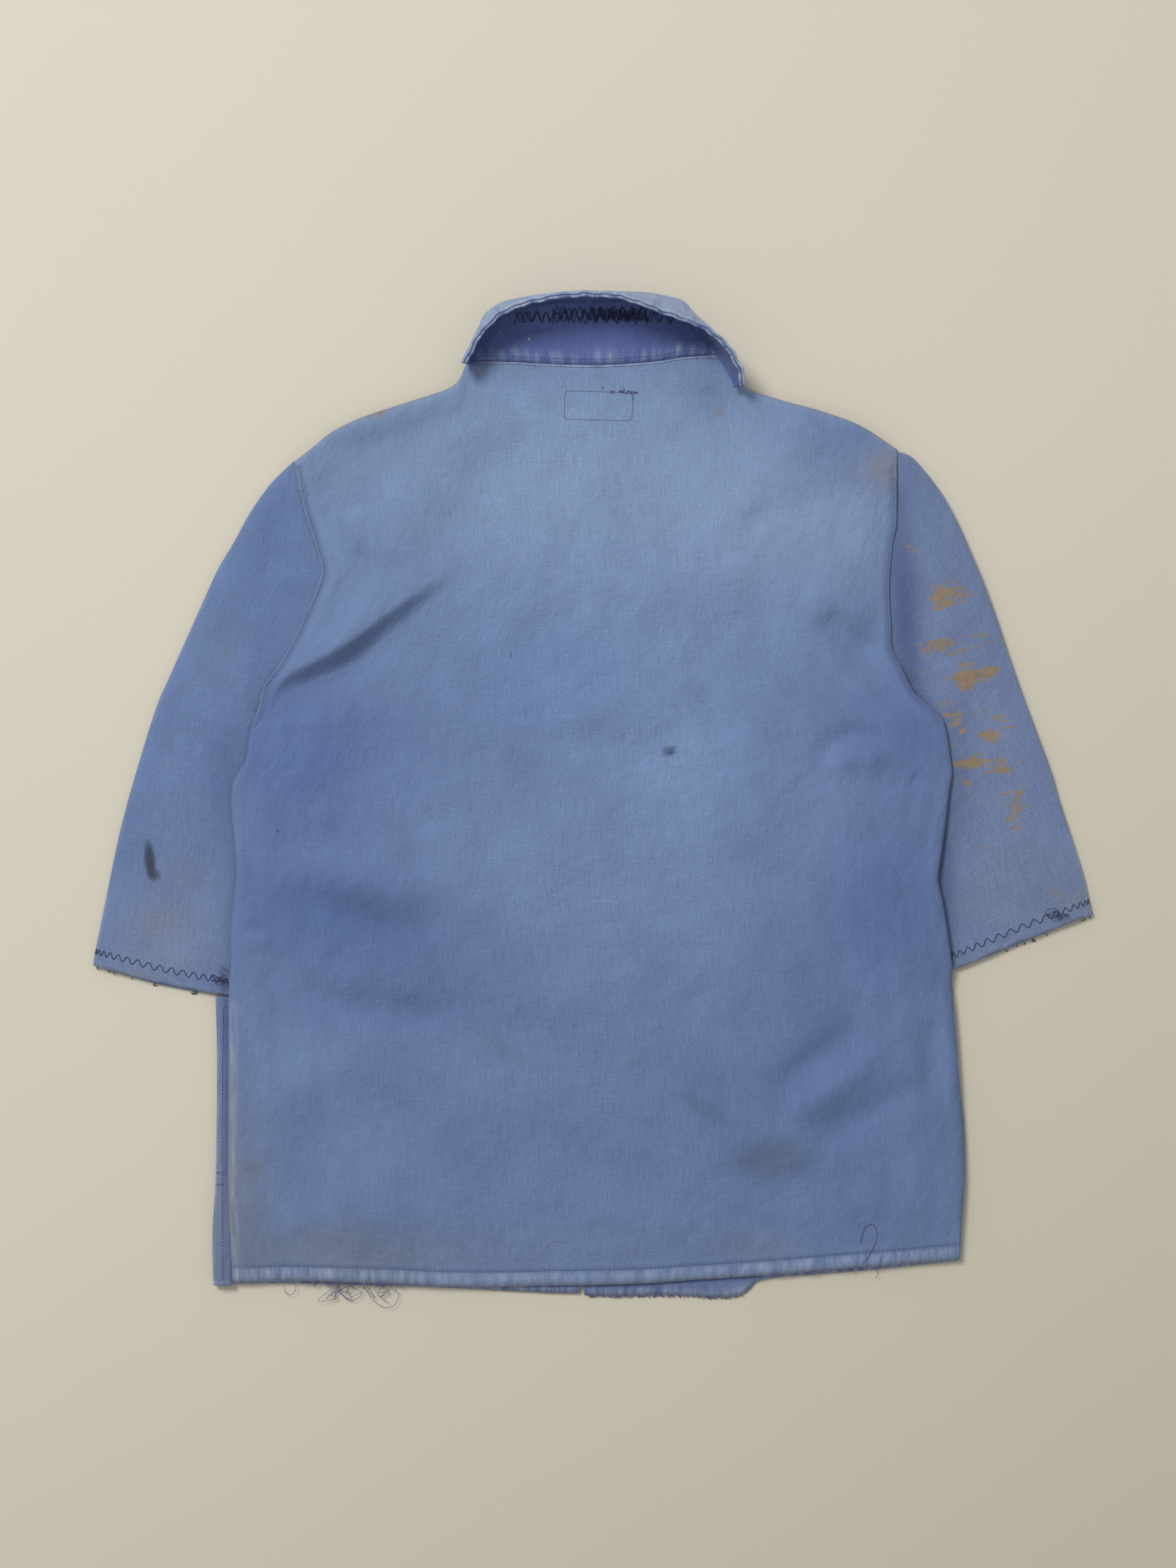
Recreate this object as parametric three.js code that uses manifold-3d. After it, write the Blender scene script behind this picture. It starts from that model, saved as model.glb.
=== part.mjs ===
// A work smock laid flat with its back up: +X to the right, +Y towards the collar, +Z up, in millimetres.
// The origin is on the surface it lies on, under the middle of its outline.
import * as THREE from 'three';
import { mergeVertices } from 'three/addons/utils/BufferGeometryUtils.js';
import Module from 'manifold-3d';

// Body, seen from above.
const backLength = 750; // neck seam to back hem
const halfWidth = 297; // middle to side seam
const halfShoulder = 244; // middle to shoulder tip
const halfNeckSeam = 98; // middle to the end of the back neck seam
const neckPointOut = 14; // neck seam's end out to the shoulder's neck end
const neckPointDrop = 17; // neck seam down to the shoulder's neck end
const neckSeamDip = 4; // pull of the neck seam's curve towards the hem
const shoulderDrop = 80; // neck seam down to shoulder tip
const armholeDepth = 280; // neck seam down to underarm
const armholePull = 51; // how far the armhole's curve is pulled in from the shoulder tip
const sideWrap = 12; // how far the left front wraps past its side seam

// Fronts, under the back.
const frontDrop = 8; // right front hem below back hem
const leftFrontRise = 3.5; // left front hem above right front hem
const lowHemWidth = 134; // stretch of the right front that hangs lowest
const sideHemRise = 2; // fronts shorter than the back at the side seams
const frontGap = 3.4; // between the two front edges
const frontEdgeX = -9.5; // middle of that gap
const frontNeckDrop = 95; // neck seam down to the front neckline
const facingWidth = 62;
const facingEnd = 16; // facing stops short of hem and neckline

// Sleeves.
const sleeveReach = 406.8; // middle to the cuff's outer corner
const leftSleeveDrop = 488.5; // neck seam down to the cuff's outer corner
const rightSleeveDrop = 447;
const leftCuffSlope = 23.5; // cuff's inner corner below its outer corner
const rightCuffSlope = 44;
const sleeveHeight = 13.8; // lying flat
const headBottom = 1.8; // underside of the sleeve head
const headHeight = 12.6;
const headShort = 36; // head stops short of shoulder tip and underarm
const foldGap = 1.2; // between a sleeve and the body at its fold

// Collar.
const standDepth = 44; // neck seam to roll line
const rollStraight = 70; // half the flatter stretch of the roll line
const rollBow = 6.5; // rise of the roll line's middle over the ends of that stretch
const leafHeight = 46;
const leafPly = 1.0;
const leafOut = 5; // leaf's ends outside the stand's
const liningShort = 3; // interlining inside the edges of the cloth
const darningWidth = 8;
const darningInset = 10; // roll line down to the darning's top edge, at its ends
const pointWidth = 58; // collar points, under the fronts
const pointLength = 96;
const pointBottom = 1.5;

// Cloth.
const cloth = 1.2;
const ply = 0.9; // interlining and label
const layerGap = 0.3;
const pocketHollow = 5.4;
const torsoHollow = 8.9;

// Pockets, on the outside of the fronts.
const hipWidth = 168;
const hipHeight = 166;
const hipBottom = 84; // above the back hem
const hipInset = 10; // from the side seam
const chestWidth = 120;
const chestHeight = 132;
const chestDrop = 163; // neck seam down to the pocket's mouth
const chestArmGap = 25.7; // in from the armhole's innermost point
const pocketRound = 14;

// Label inside the back neck.
const labelWidth = 56;
const labelHeight = 25;
const labelDrop = 24; // neck seam down to its top edge
const labelX = 4;

// Buttons on the right front, buttonholes in the left.
const buttonCount = 5;
const buttonRadius = 9;
const buttonThickness = 3;
const buttonInset = 20; // from the front edge
const buttonPitch = 124;
const topButtonDrop = 23; // front neckline down to the top button
const threadRadius = 2.2;
const threadHoleRadius = 1.0;
const threadHoleOffset = 2.3;
const buttonholeLength = 21;
const buttonholeWidth = 1.6;

const wasm = await Module();
wasm.setup();

// Heights, from the surface up.
const frontZ = cloth + pocketHollow + layerGap;
const facingZ = frontZ + cloth + layerGap;
const backZ = facingZ + cloth + torsoHollow;
const backTop = backZ + cloth;
const labelZ = backZ - layerGap - ply;
const standUnderZ = labelZ - cloth - layerGap;
const standLiningZ = standUnderZ - layerGap - ply;
const standInnerZ = standLiningZ - layerGap - cloth;
const leafZ = standUnderZ + 2 * cloth;

// Lines across the body. The outline's middle is at Y = 0.
const leafThickness = 3 * leafPly + 2 * layerGap;
const neckY = (backLength + frontDrop - standDepth - leafThickness - layerGap) / 2;
const hemY = neckY - backLength;
const shoulderY = neckY - shoulderDrop;
const underarmY = neckY - armholeDepth;
const neckPointY = neckY - neckPointDrop;
const frontNeckY = neckY - frontNeckDrop;
const rollY = neckY + standDepth;
const halfNeck = halfNeckSeam + neckPointOut;

// Heights of each cuff's two corners across the body.
const leftCuffY = neckY - leftSleeveDrop;
const rightCuffY = neckY - rightSleeveDrop;
const cuffs = {
  left: { outerY: leftCuffY, innerY: leftCuffY - leftCuffSlope },
  right: { outerY: rightCuffY, innerY: rightCuffY - rightCuffSlope },
};

const fabrics = {
  twill: new THREE.MeshStandardMaterial({ color: 0x6f86b4, roughness: 0.95, metalness: 0 }),
  sleeve: new THREE.MeshStandardMaterial({ color: 0x7288b2, roughness: 0.95, metalness: 0 }),
  indigo: new THREE.MeshStandardMaterial({ color: 0x4c5894, roughness: 0.95, metalness: 0 }),
  lining: new THREE.MeshStandardMaterial({ color: 0xb9bcc0, roughness: 0.9, metalness: 0 }),
  label: new THREE.MeshStandardMaterial({ color: 0xd8d4c8, roughness: 0.8, metalness: 0 }),
  thread: new THREE.MeshStandardMaterial({ color: 0x1d2029, roughness: 0.85, metalness: 0 }),
  button: new THREE.MeshStandardMaterial({ color: 0x27304f, roughness: 0.35, metalness: 0 }),
};

const smock = new THREE.Group();

function addPiece(name, geometry, material) {
  const mesh = new THREE.Mesh(geometry, material);
  mesh.name = name;
  smock.add(mesh);
}

// A flat piece of even thickness from a THREE.Shape or a list of [x, y].
function slab(outline, bottom, thickness, curveSegments = 10) {
  const isShape = outline instanceof THREE.Shape;
  const shape = isShape ? outline : new THREE.Shape(outline.map(([x, y]) => new THREE.Vector2(x, y)));
  const geometry = new THREE.ExtrudeGeometry(shape, { depth: thickness, bevelEnabled: false, curveSegments });
  return geometry.translate(0, 0, bottom);
}

function box(x0, x1, y0, y1, z0, z1) {
  const block = new THREE.BoxGeometry(Math.abs(x1 - x0), y1 - y0, z1 - z0);
  return block.translate((x0 + x1) / 2, (y0 + y1) / 2, (z0 + z1) / 2);
}

function toSolid(geometry) {
  const bare = geometry.clone();
  bare.deleteAttribute('normal');
  bare.deleteAttribute('uv');
  const merged = mergeVertices(bare, 1e-4);
  const triVerts = new Uint32Array(merged.index.array);
  return new wasm.Manifold(new wasm.Mesh({ numProp: 3, vertProperties: merged.attributes.position.array, triVerts }));
}

function cut(geometry, ...tools) {
  let solid = toSolid(geometry);
  for (const tool of tools) solid = solid.subtract(toSolid(tool));
  const mesh = solid.getMesh();
  const result = new THREE.BufferGeometry();
  result.setAttribute('position', new THREE.BufferAttribute(mesh.vertProperties, 3));
  result.setIndex(new THREE.BufferAttribute(mesh.triVerts, 1));
  result.computeVertexNormals();
  return result;
}

// Sides are -1 on the left and 1 on the right. A sleeve folds over the back along the straight line from the
// shoulder tip to the cuff's inner corner, and foldX is that line at height y.
function foldX(side, y) {
  const cuff = side < 0 ? cuffs.left : cuffs.right;
  const along = (shoulderY - y) / (shoulderY - cuff.innerY);
  return side * (halfShoulder + (halfWidth - halfShoulder) * along);
}

// The armhole's curve as [pull point, shoulder end, underarm end], drawn in by inset from the sleeve's fold.
function armhole(side, inset) {
  const pull = [side * (halfShoulder - armholePull - inset), (shoulderY + underarmY) / 2];
  const tip = [side * (halfShoulder - inset), shoulderY];
  const underarm = [foldX(side, underarmY) - side * inset, underarmY];
  return { pull, tip, underarm };
}

// The back's outline, from the left hem corner round by the shoulders. inset leaves room at sides and armholes.
function backOutline(inset, bottomY, lower) {
  const left = armhole(-1, inset);
  const right = armhole(1, inset);
  const sideX = halfWidth - inset;
  const shape = new THREE.Shape();
  shape.moveTo(-sideX, bottomY);
  shape.lineTo(-sideX, cuffs.left.innerY);
  shape.lineTo(...left.underarm);
  shape.quadraticCurveTo(...left.pull, left.tip[0], left.tip[1] - lower);
  shape.lineTo(-halfNeck, neckPointY - lower);
  shape.lineTo(-halfNeckSeam, neckY - lower);
  shape.quadraticCurveTo(0, neckY - neckSeamDip - lower, halfNeckSeam, neckY - lower);
  shape.lineTo(halfNeck, neckPointY - lower);
  shape.lineTo(right.tip[0], right.tip[1] - lower);
  shape.quadraticCurveTo(...right.pull, ...right.underarm);
  shape.lineTo(sideX, cuffs.right.innerY);
  shape.lineTo(sideX, bottomY);
  shape.closePath();
  return shape;
}

// Back: one piece of twill, turned down at the sides and shoulders to meet the fronts. The turned edge is open at
// the neck and at both armholes.
const rimBottom = frontZ + cloth + layerGap;
const backBlock = slab(backOutline(foldGap, hemY, 0), rimBottom, backTop - rimBottom);
const backSpace = slab(backOutline(foldGap + cloth, hemY - 1, cloth), rimBottom - 1, backZ - rimBottom + 1);
const neckMouth = box(-halfNeckSeam, halfNeckSeam, neckY - 30, neckY + 10, rimBottom - 1, backZ);
const armMouths = [-1, 1].map((side) => {
  const inside = side * (halfShoulder - 1.6 * armholePull);
  const outside = side * (halfWidth - armholePull / 4);
  return box(inside, outside, underarmY + headShort, shoulderY - headShort, rimBottom - 1, backZ);
});
addPiece('back_panel', cut(backBlock, backSpace, neckMouth, ...armMouths), fabrics.twill);

// Label, sewn to the inside of the back.
const labelTop = neckY - labelDrop;
const labelLeft = labelX - labelWidth / 2;
addPiece(
  'neck_label',
  box(labelLeft, labelLeft + labelWidth, labelTop - labelHeight, labelTop, labelZ, labelZ + ply),
  fabrics.label,
);

// Fronts: half of the body each, with a lower neckline and a hem of its own. The left one wraps round to the back
// below its sleeve.
function frontOutline(side) {
  const left = side < 0;
  const cuff = left ? cuffs.left : cuffs.right;
  const { pull, tip, underarm } = armhole(side, foldGap);
  const edgeX = frontEdgeX + (side * frontGap) / 2;
  const lowest = hemY - frontDrop + (left ? leftFrontRise : 0);
  const seamX = side * (halfWidth - foldGap);
  const sideX = left ? seamX - sideWrap : seamX;
  const strap = cuff.innerY - 4 * foldGap;
  const shape = new THREE.Shape();
  shape.moveTo(edgeX, lowest);
  shape.lineTo(edgeX, frontNeckY);
  shape.quadraticCurveTo(side * halfNeckSeam * 0.94, frontNeckY + 4, side * halfNeck, neckPointY);
  shape.lineTo(...tip);
  shape.quadraticCurveTo(...pull, ...underarm);
  shape.lineTo(seamX, cuff.innerY);
  if (left) shape.lineTo(seamX, strap);
  if (left) shape.lineTo(sideX, strap);
  shape.lineTo(sideX, hemY + sideHemRise);
  if (!left) shape.lineTo(edgeX + lowHemWidth, lowest);
  shape.closePath();
  return shape;
}

function facingOutline(side) {
  const edgeX = frontEdgeX + (side * frontGap) / 2;
  const innerX = edgeX + side * facingWidth;
  const low = hemY + facingEnd;
  const high = frontNeckY - facingEnd;
  return [[edgeX, low], [edgeX, high], [innerX, high], [innerX, low]];
}

const buttonYs = Array.from({ length: buttonCount }, (_, i) => frontNeckY - topButtonDrop - i * buttonPitch);
const holeEnd = frontEdgeX - frontGap / 2 - buttonInset + buttonholeLength / 2;
const buttonholes = buttonYs.map((y) => {
  const half = buttonholeWidth / 2;
  return box(holeEnd - buttonholeLength, holeEnd, y - half, y + half, frontZ - 1, facingZ + cloth + 1);
});
addPiece('left_front', cut(slab(frontOutline(-1), frontZ, cloth), ...buttonholes), fabrics.twill);
addPiece('right_front', slab(frontOutline(1), frontZ, cloth), fabrics.twill);
addPiece('left_front_facing', cut(slab(facingOutline(-1), facingZ, cloth), ...buttonholes), fabrics.twill);
addPiece('right_front_facing', slab(facingOutline(1), facingZ, cloth), fabrics.twill);

// Patch pockets: a face of cloth with edges that rise to the front, open at the top.
function pocketOutline(x0, x1, y0, y1, round) {
  const shape = new THREE.Shape();
  shape.moveTo(x0, y1);
  shape.lineTo(x0, y0 + round);
  shape.quadraticCurveTo(x0, y0, x0 + round, y0);
  shape.lineTo(x1 - round, y0);
  shape.quadraticCurveTo(x1, y0, x1, y0 + round);
  shape.lineTo(x1, y1);
  shape.closePath();
  return shape;
}

function addPocket(name, x0, x1, y0, y1) {
  const outer = pocketOutline(x0, x1, y0, y1, pocketRound);
  const inner = pocketOutline(x0 + cloth, x1 - cloth, y0 + cloth, y1 + 1, pocketRound - cloth);
  const block = slab(outer, 0, cloth + pocketHollow, 4);
  addPiece(name, cut(block, slab(inner, cloth, pocketHollow + 1, 4)), fabrics.twill);
}

const pocketSideX = halfWidth - hipInset;
const hipY = hemY + hipBottom;
const chestY = neckY - chestDrop;
const chestArmhole = armhole(-1, foldGap);
const innermostX = (chestArmhole.tip[0] + 2 * chestArmhole.pull[0] + chestArmhole.underarm[0]) / 4;
const chestX = innermostX + chestArmGap;
addPocket('left_hip_pocket', -pocketSideX, -pocketSideX + hipWidth, hipY, hipY + hipHeight);
addPocket('right_hip_pocket', pocketSideX - hipWidth, pocketSideX, hipY, hipY + hipHeight);
addPocket('left_chest_pocket', chestX, chestX + chestWidth, chestY - chestHeight, chestY);

// Buttons: round, with four holes, each on a short shank of thread.
function buttonGeometry() {
  const outline = new THREE.Shape();
  outline.absarc(0, 0, buttonRadius, 0, 2 * Math.PI, false);
  for (const [x, y] of [[1, 1], [-1, 1], [-1, -1], [1, -1]]) {
    const hole = new THREE.Path();
    hole.absarc(x * threadHoleOffset, y * threadHoleOffset, threadHoleRadius, 0, 2 * Math.PI, true);
    outline.holes.push(hole);
  }
  return slab(outline, 0, buttonThickness, 8);
}

const buttonX = frontEdgeX + frontGap / 2 + buttonInset;
const threadBottom = buttonThickness + layerGap;
const threadTop = frontZ - layerGap;
buttonYs.forEach((y, i) => {
  addPiece(`button_${i + 1}`, buttonGeometry().translate(buttonX, y, 0), fabrics.button);
  const shank = new THREE.CylinderGeometry(threadRadius, threadRadius, threadTop - threadBottom, 12);
  shank.rotateX(Math.PI / 2).translate(buttonX, y, (threadBottom + threadTop) / 2);
  addPiece(`button_thread_${i + 1}`, shank, fabrics.thread);
});

// Sleeves: flat tubes beside the body, open at the cuff and at the armhole.
function sleeveOutline(side, inset, pastCuff) {
  const cuff = side < 0 ? cuffs.left : cuffs.right;
  const reach = sleeveReach - inset - halfShoulder;
  const drop = shoulderY - cuff.outerY;
  const innerX = (y) => foldX(side, y) + side * (foldGap + inset);
  const top = shoulderY - foldGap - inset;
  const shape = new THREE.Shape();
  shape.moveTo(innerX(top), top);
  shape.bezierCurveTo(
    side * (halfShoulder + 0.37 * reach),
    shoulderY - 0.13 * drop,
    side * (halfShoulder + 0.89 * reach),
    shoulderY - 0.6 * drop,
    side * (halfShoulder + reach),
    cuff.outerY - pastCuff,
  );
  shape.lineTo(innerX(cuff.innerY), cuff.innerY - pastCuff);
  shape.closePath();
  return shape;
}

function addSleeve(name, side) {
  const outer = slab(sleeveOutline(side, 0, 0), 0, sleeveHeight, 8);
  const hollow = slab(sleeveOutline(side, cloth, cloth), cloth, sleeveHeight - 2 * cloth, 8);
  const [low, high] = [underarmY, shoulderY - headShort];
  const across = (y) => [foldX(side, y), foldX(side, y) + side * (foldGap + 2 * cloth)];
  const mouth = [[across(low)[0], low], [across(low)[1], low], [across(high)[1], high], [across(high)[0], high]];
  addPiece(name, cut(outer, hollow, slab(mouth, cloth, sleeveHeight - 2 * cloth)), fabrics.sleeve);
}

addSleeve('left_sleeve', -1);
addSleeve('right_sleeve', 1);

// Sleeve heads: the part of each sleeve's cloth between its armhole seam and its fold, which stays with the body.
function addSleeveHead(name, side) {
  const [low, high] = [underarmY + headShort, shoulderY - headShort];
  const insideX = side * (halfShoulder - armholePull);
  const outsideX = (y) => foldX(side, y) - (side * foldGap) / 2;
  const block = [[insideX, low], [outsideX(low), low], [outsideX(high), high], [insideX, high]];
  const body = slab(backOutline(0, hemY, 0), -1, backTop + 2);
  const farX = outsideX(low) + side * cloth;
  const [hollowBottom, hollowTop] = [headBottom + cloth, headBottom + headHeight - cloth];
  const hollow = box(Math.min(insideX, farX), Math.max(insideX, farX), low + cloth, high - cloth, hollowBottom, hollowTop);
  addPiece(name, cut(slab(block, headBottom, headHeight), body, hollow), fabrics.sleeve);
}

addSleeveHead('left_sleeve_head', -1);
addSleeveHead('right_sleeve_head', 1);

// The collar's roll line in plan, from right to left or back again: steep ends and a flatter middle. half is
// where its ends are, top is its middle's height.
function rollCurve(shape, half, top, startY, fromRight) {
  const side = fromRight ? 1 : -1;
  const turn = [rollStraight, top - rollBow];
  shape.lineTo(side * half, startY);
  shape.quadraticCurveTo(side * (half - 4), top - 2.4 * rollBow, side * turn[0], turn[1]);
  shape.quadraticCurveTo(0, top + rollBow, -side * turn[0], turn[1]);
  shape.quadraticCurveTo(-side * (half - 4), top - 2.4 * rollBow, -side * half, startY);
}

// Collar stand: from the neck seam to the roll line, under collar on top, interlining, and top collar below.
function standOutline(short) {
  const low = neckY + 1 + short;
  const shape = new THREE.Shape();
  shape.moveTo(-halfNeckSeam + short, low);
  shape.quadraticCurveTo(0, low - neckSeamDip, halfNeckSeam - short, low);
  rollCurve(shape, halfNeckSeam - short, rollY - short, low, true);
  return shape;
}

addPiece('collar_stand_under', slab(standOutline(0), standUnderZ, cloth), fabrics.indigo);
addPiece('collar_stand_interlining', slab(standOutline(liningShort), standLiningZ, ply), fabrics.lining);
addPiece('collar_stand_inner', slab(standOutline(0), standInnerZ, cloth), fabrics.twill);

// Darning: a band of thread stitched over the under collar along the roll line.
const darning = new THREE.Shape();
const darningEnd = rollStraight - 4;
const darningTop = rollY - darningInset;
darning.moveTo(-darningEnd, darningTop - darningWidth);
darning.quadraticCurveTo(0, darningTop - darningWidth + 1.5 * rollBow, darningEnd, darningTop - darningWidth);
darning.lineTo(darningEnd, darningTop);
darning.quadraticCurveTo(0, darningTop + 1.5 * rollBow, -darningEnd, darningTop);
darning.closePath();
addPiece('collar_darning', slab(darning, standUnderZ + cloth + layerGap, layerGap), fabrics.thread);

// Collar leaf: three plies that stand up along the roll line.
function leafPlyOutline(offset) {
  const half = halfNeckSeam + leafOut + offset;
  const top = rollY + layerGap + offset;
  const startY = neckY + 3;
  const shape = new THREE.Shape();
  shape.moveTo(-half - leafPly, startY);
  rollCurve(shape, half + leafPly, top + leafPly, startY, false);
  rollCurve(shape, half, top, startY, true);
  shape.closePath();
  return shape;
}

const leafPlies = [
  ['collar_leaf_under', fabrics.indigo, 0],
  ['collar_leaf_interlining', fabrics.lining, liningShort],
  ['collar_leaf_top', fabrics.twill, 0],
];
leafPlies.forEach(([name, fabric, short], i) => {
  addPiece(name, slab(leafPlyOutline(i * (leafPly + layerGap)), leafZ, leafHeight - short, 8), fabric);
});

// Collar points: the ends of the collar, folded flat under each front from shoulder to centre.
function pointOutline(side) {
  const edgeX = frontEdgeX + (side * frontGap) / 2;
  const shape = new THREE.Shape();
  shape.moveTo(edgeX + side * 30, frontNeckY - 2);
  shape.quadraticCurveTo(side * halfNeckSeam * 0.96, frontNeckY + 2, side * (halfNeck + 2), neckPointY - 6);
  shape.lineTo(side * (halfNeck + 0.75 * pointWidth), neckPointY - 22);
  shape.lineTo(edgeX + side * pointLength, frontNeckY - pointWidth * 0.55);
  shape.lineTo(edgeX + side * 42, frontNeckY - pointWidth * 0.52);
  shape.closePath();
  return shape;
}

for (const [label, side] of [['left', -1], ['right', 1]]) {
  const underBottom = pointBottom + cloth + 4 * layerGap;
  addPiece(`${label}_collar_point_top`, slab(pointOutline(side), pointBottom, cloth), fabrics.twill);
  addPiece(`${label}_collar_point_under`, slab(pointOutline(side), underBottom, cloth), fabrics.indigo);
}

export default smock;
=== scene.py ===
import math

import bmesh
import bpy
import numpy as np
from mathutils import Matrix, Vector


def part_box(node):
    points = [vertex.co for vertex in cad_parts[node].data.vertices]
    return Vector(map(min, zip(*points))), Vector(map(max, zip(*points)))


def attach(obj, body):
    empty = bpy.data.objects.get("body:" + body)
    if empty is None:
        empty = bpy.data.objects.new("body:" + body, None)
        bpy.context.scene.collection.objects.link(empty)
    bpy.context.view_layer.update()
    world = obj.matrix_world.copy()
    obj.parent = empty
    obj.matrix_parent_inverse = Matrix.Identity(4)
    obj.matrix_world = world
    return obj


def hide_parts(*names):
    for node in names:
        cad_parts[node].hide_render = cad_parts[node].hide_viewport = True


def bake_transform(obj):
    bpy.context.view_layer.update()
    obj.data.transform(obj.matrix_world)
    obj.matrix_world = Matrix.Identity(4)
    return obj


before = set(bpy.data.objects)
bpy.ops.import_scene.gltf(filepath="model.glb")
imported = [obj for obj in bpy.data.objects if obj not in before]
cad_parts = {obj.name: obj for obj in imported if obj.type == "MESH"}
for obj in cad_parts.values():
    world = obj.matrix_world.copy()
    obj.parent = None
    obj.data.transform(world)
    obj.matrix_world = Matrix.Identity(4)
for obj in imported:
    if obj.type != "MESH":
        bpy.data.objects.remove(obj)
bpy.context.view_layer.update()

# The pale paper that the smock lies on, the camera straight above it, and the light: one big soft lamp high on
# the upper left and an even glow from the rest of the room. None of them is part of the smock.
MM = 0.001
PAPER_HALF = 5.0
CAMERA_AT = (-0.0043, 0.0137, 1.772)
LAMP_AT, LAMP_ACROSS, LAMP_POWER = (-1.7, 2.0, 3.3), 1.5, 118
ROOM_GLOW = 0.5


def linear(red, green, blue):
    """A colour from display values of 0 to 255, as a shader takes it."""
    parts = [part / 255 for part in (red, green, blue)]
    return tuple(p / 12.92 if p <= 0.04045 else ((p + 0.055) / 1.055) ** 2.4 for p in parts) + (1.0,)


def add(tree, kind, values, **settings):
    """A shader node. Each value goes to the input of that name or number: a socket is linked, the rest is set."""
    node = tree.nodes.new("ShaderNode" + kind)
    for key, value in settings.items():
        setattr(node, key, value)
    for key, value in values.items():
        if isinstance(value, bpy.types.NodeSocket):
            tree.links.new(value, node.inputs[key])
        else:
            node.inputs[key].default_value = value
    return node


def calc(tree, operation, a, b=0.0, clamp=False):
    return add(tree, "Math", {0: a, 1: b}, operation=operation, use_clamp=clamp).outputs[0]


def mix(tree, share, a, b, kind="MIX"):
    return add(tree, "MixRGB", {0: share, 1: a, 2: b}, blend_type=kind).outputs[0]


def noise(tree, place, scale, detail=2.0, roughness=0.5):
    values = {"Vector": place, "Scale": scale, "Detail": detail, "Roughness": roughness}
    return add(tree, "TexNoise", values).outputs["Fac"]


def stretched(tree, place, scale, turn=0.0):
    """A place on the cloth, stretched and turned, so that a pattern on it runs one way."""
    turned = add(tree, "Mapping", {"Vector": place, "Rotation": (0, 0, turn)})
    return add(tree, "Mapping", {"Vector": turned.outputs[0], "Scale": scale}).outputs[0]


def around(tree, value, middle, swing):
    """A pattern of 0 to 1 as a factor that swings about its middle value."""
    values = {"Value": value, "To Min": middle - swing, "To Max": middle + swing}
    return add(tree, "MapRange", values).outputs[0]


def finish_of(name, roughness, **fixed):
    """A new material: its node tree and its principled shader."""
    material = bpy.data.materials.new(name)
    material.use_nodes = True
    shader = material.node_tree.nodes["Principled BSDF"]
    shader.inputs["Roughness"].default_value = roughness
    for key, value in fixed.items():
        shader.inputs[key.replace("_", " ")].default_value = value
    return material, material.node_tree, shader


def wired(tree, shader, **sockets):
    """Links sockets to the shader's inputs of those names."""
    for key, socket in sockets.items():
        tree.links.new(socket, shader.inputs[key.replace("_", " ")])


def object_place(tree):
    return add(tree, "TexCoord", {}).outputs["Object"]


paper, tree, shader = finish_of("pale_paper", 0.9, Specular_IOR_Level=0.15)
place = object_place(tree)
fibres = around(tree, noise(tree, place, 420, 3), 1.0, 0.018)
clouds = around(tree, noise(tree, place, 2.2, 2), 1.0, 0.012)
# Painted shade: the paper's colour darkens from the middle towards the lower right, where the lamp's light falls off.
painted_falloff = add(tree, "TexGradient", {"Vector": stretched(tree, place, (1.0, 1.0, 1.0), 0.96)}).outputs["Fac"]
tone = mix(tree, painted_falloff, linear(205, 200, 186), linear(189, 183, 165))
wired(tree, shader, Base_Color=mix(tree, 1.0, tone, calc(tree, "MULTIPLY", fibres, clouds), "MULTIPLY"))

bm = bmesh.new()
bmesh.ops.create_grid(bm, x_segments=1, y_segments=1, size=PAPER_HALF)
mesh = bpy.data.meshes.new("paper")
bm.to_mesh(mesh)
bm.free()
mesh.materials.append(paper)
floor = bpy.data.objects.new("paper", mesh)
bpy.context.scene.collection.objects.link(floor)

camera_data = bpy.data.cameras.new("camera")
camera_data.lens = 50
camera_data.sensor_width = 36
camera = bpy.data.objects.new("camera", camera_data)
camera.location = CAMERA_AT
bpy.context.scene.collection.objects.link(camera)
bpy.context.scene.camera = camera

lamp_data = bpy.data.lights.new("soft_lamp", "AREA")
lamp_data.shape = "DISK"
lamp_data.size = LAMP_ACROSS
lamp_data.energy = LAMP_POWER
lamp_data.color = (1.0, 0.985, 0.955)
lamp = bpy.data.objects.new("soft_lamp", lamp_data)
lamp.location = LAMP_AT
lamp.rotation_euler = (-lamp.location).to_track_quat("-Z", "Y").to_euler()
bpy.context.scene.collection.objects.link(lamp)

room = bpy.data.worlds.new("room")
room.use_nodes = True
room.node_tree.nodes["Background"].inputs["Color"].default_value = (1.0, 0.99, 0.97, 1)
room.node_tree.nodes["Background"].inputs["Strength"].default_value = ROOM_GLOW
bpy.context.scene.world = room
bpy.context.scene.view_settings.view_transform = "Standard"

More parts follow.
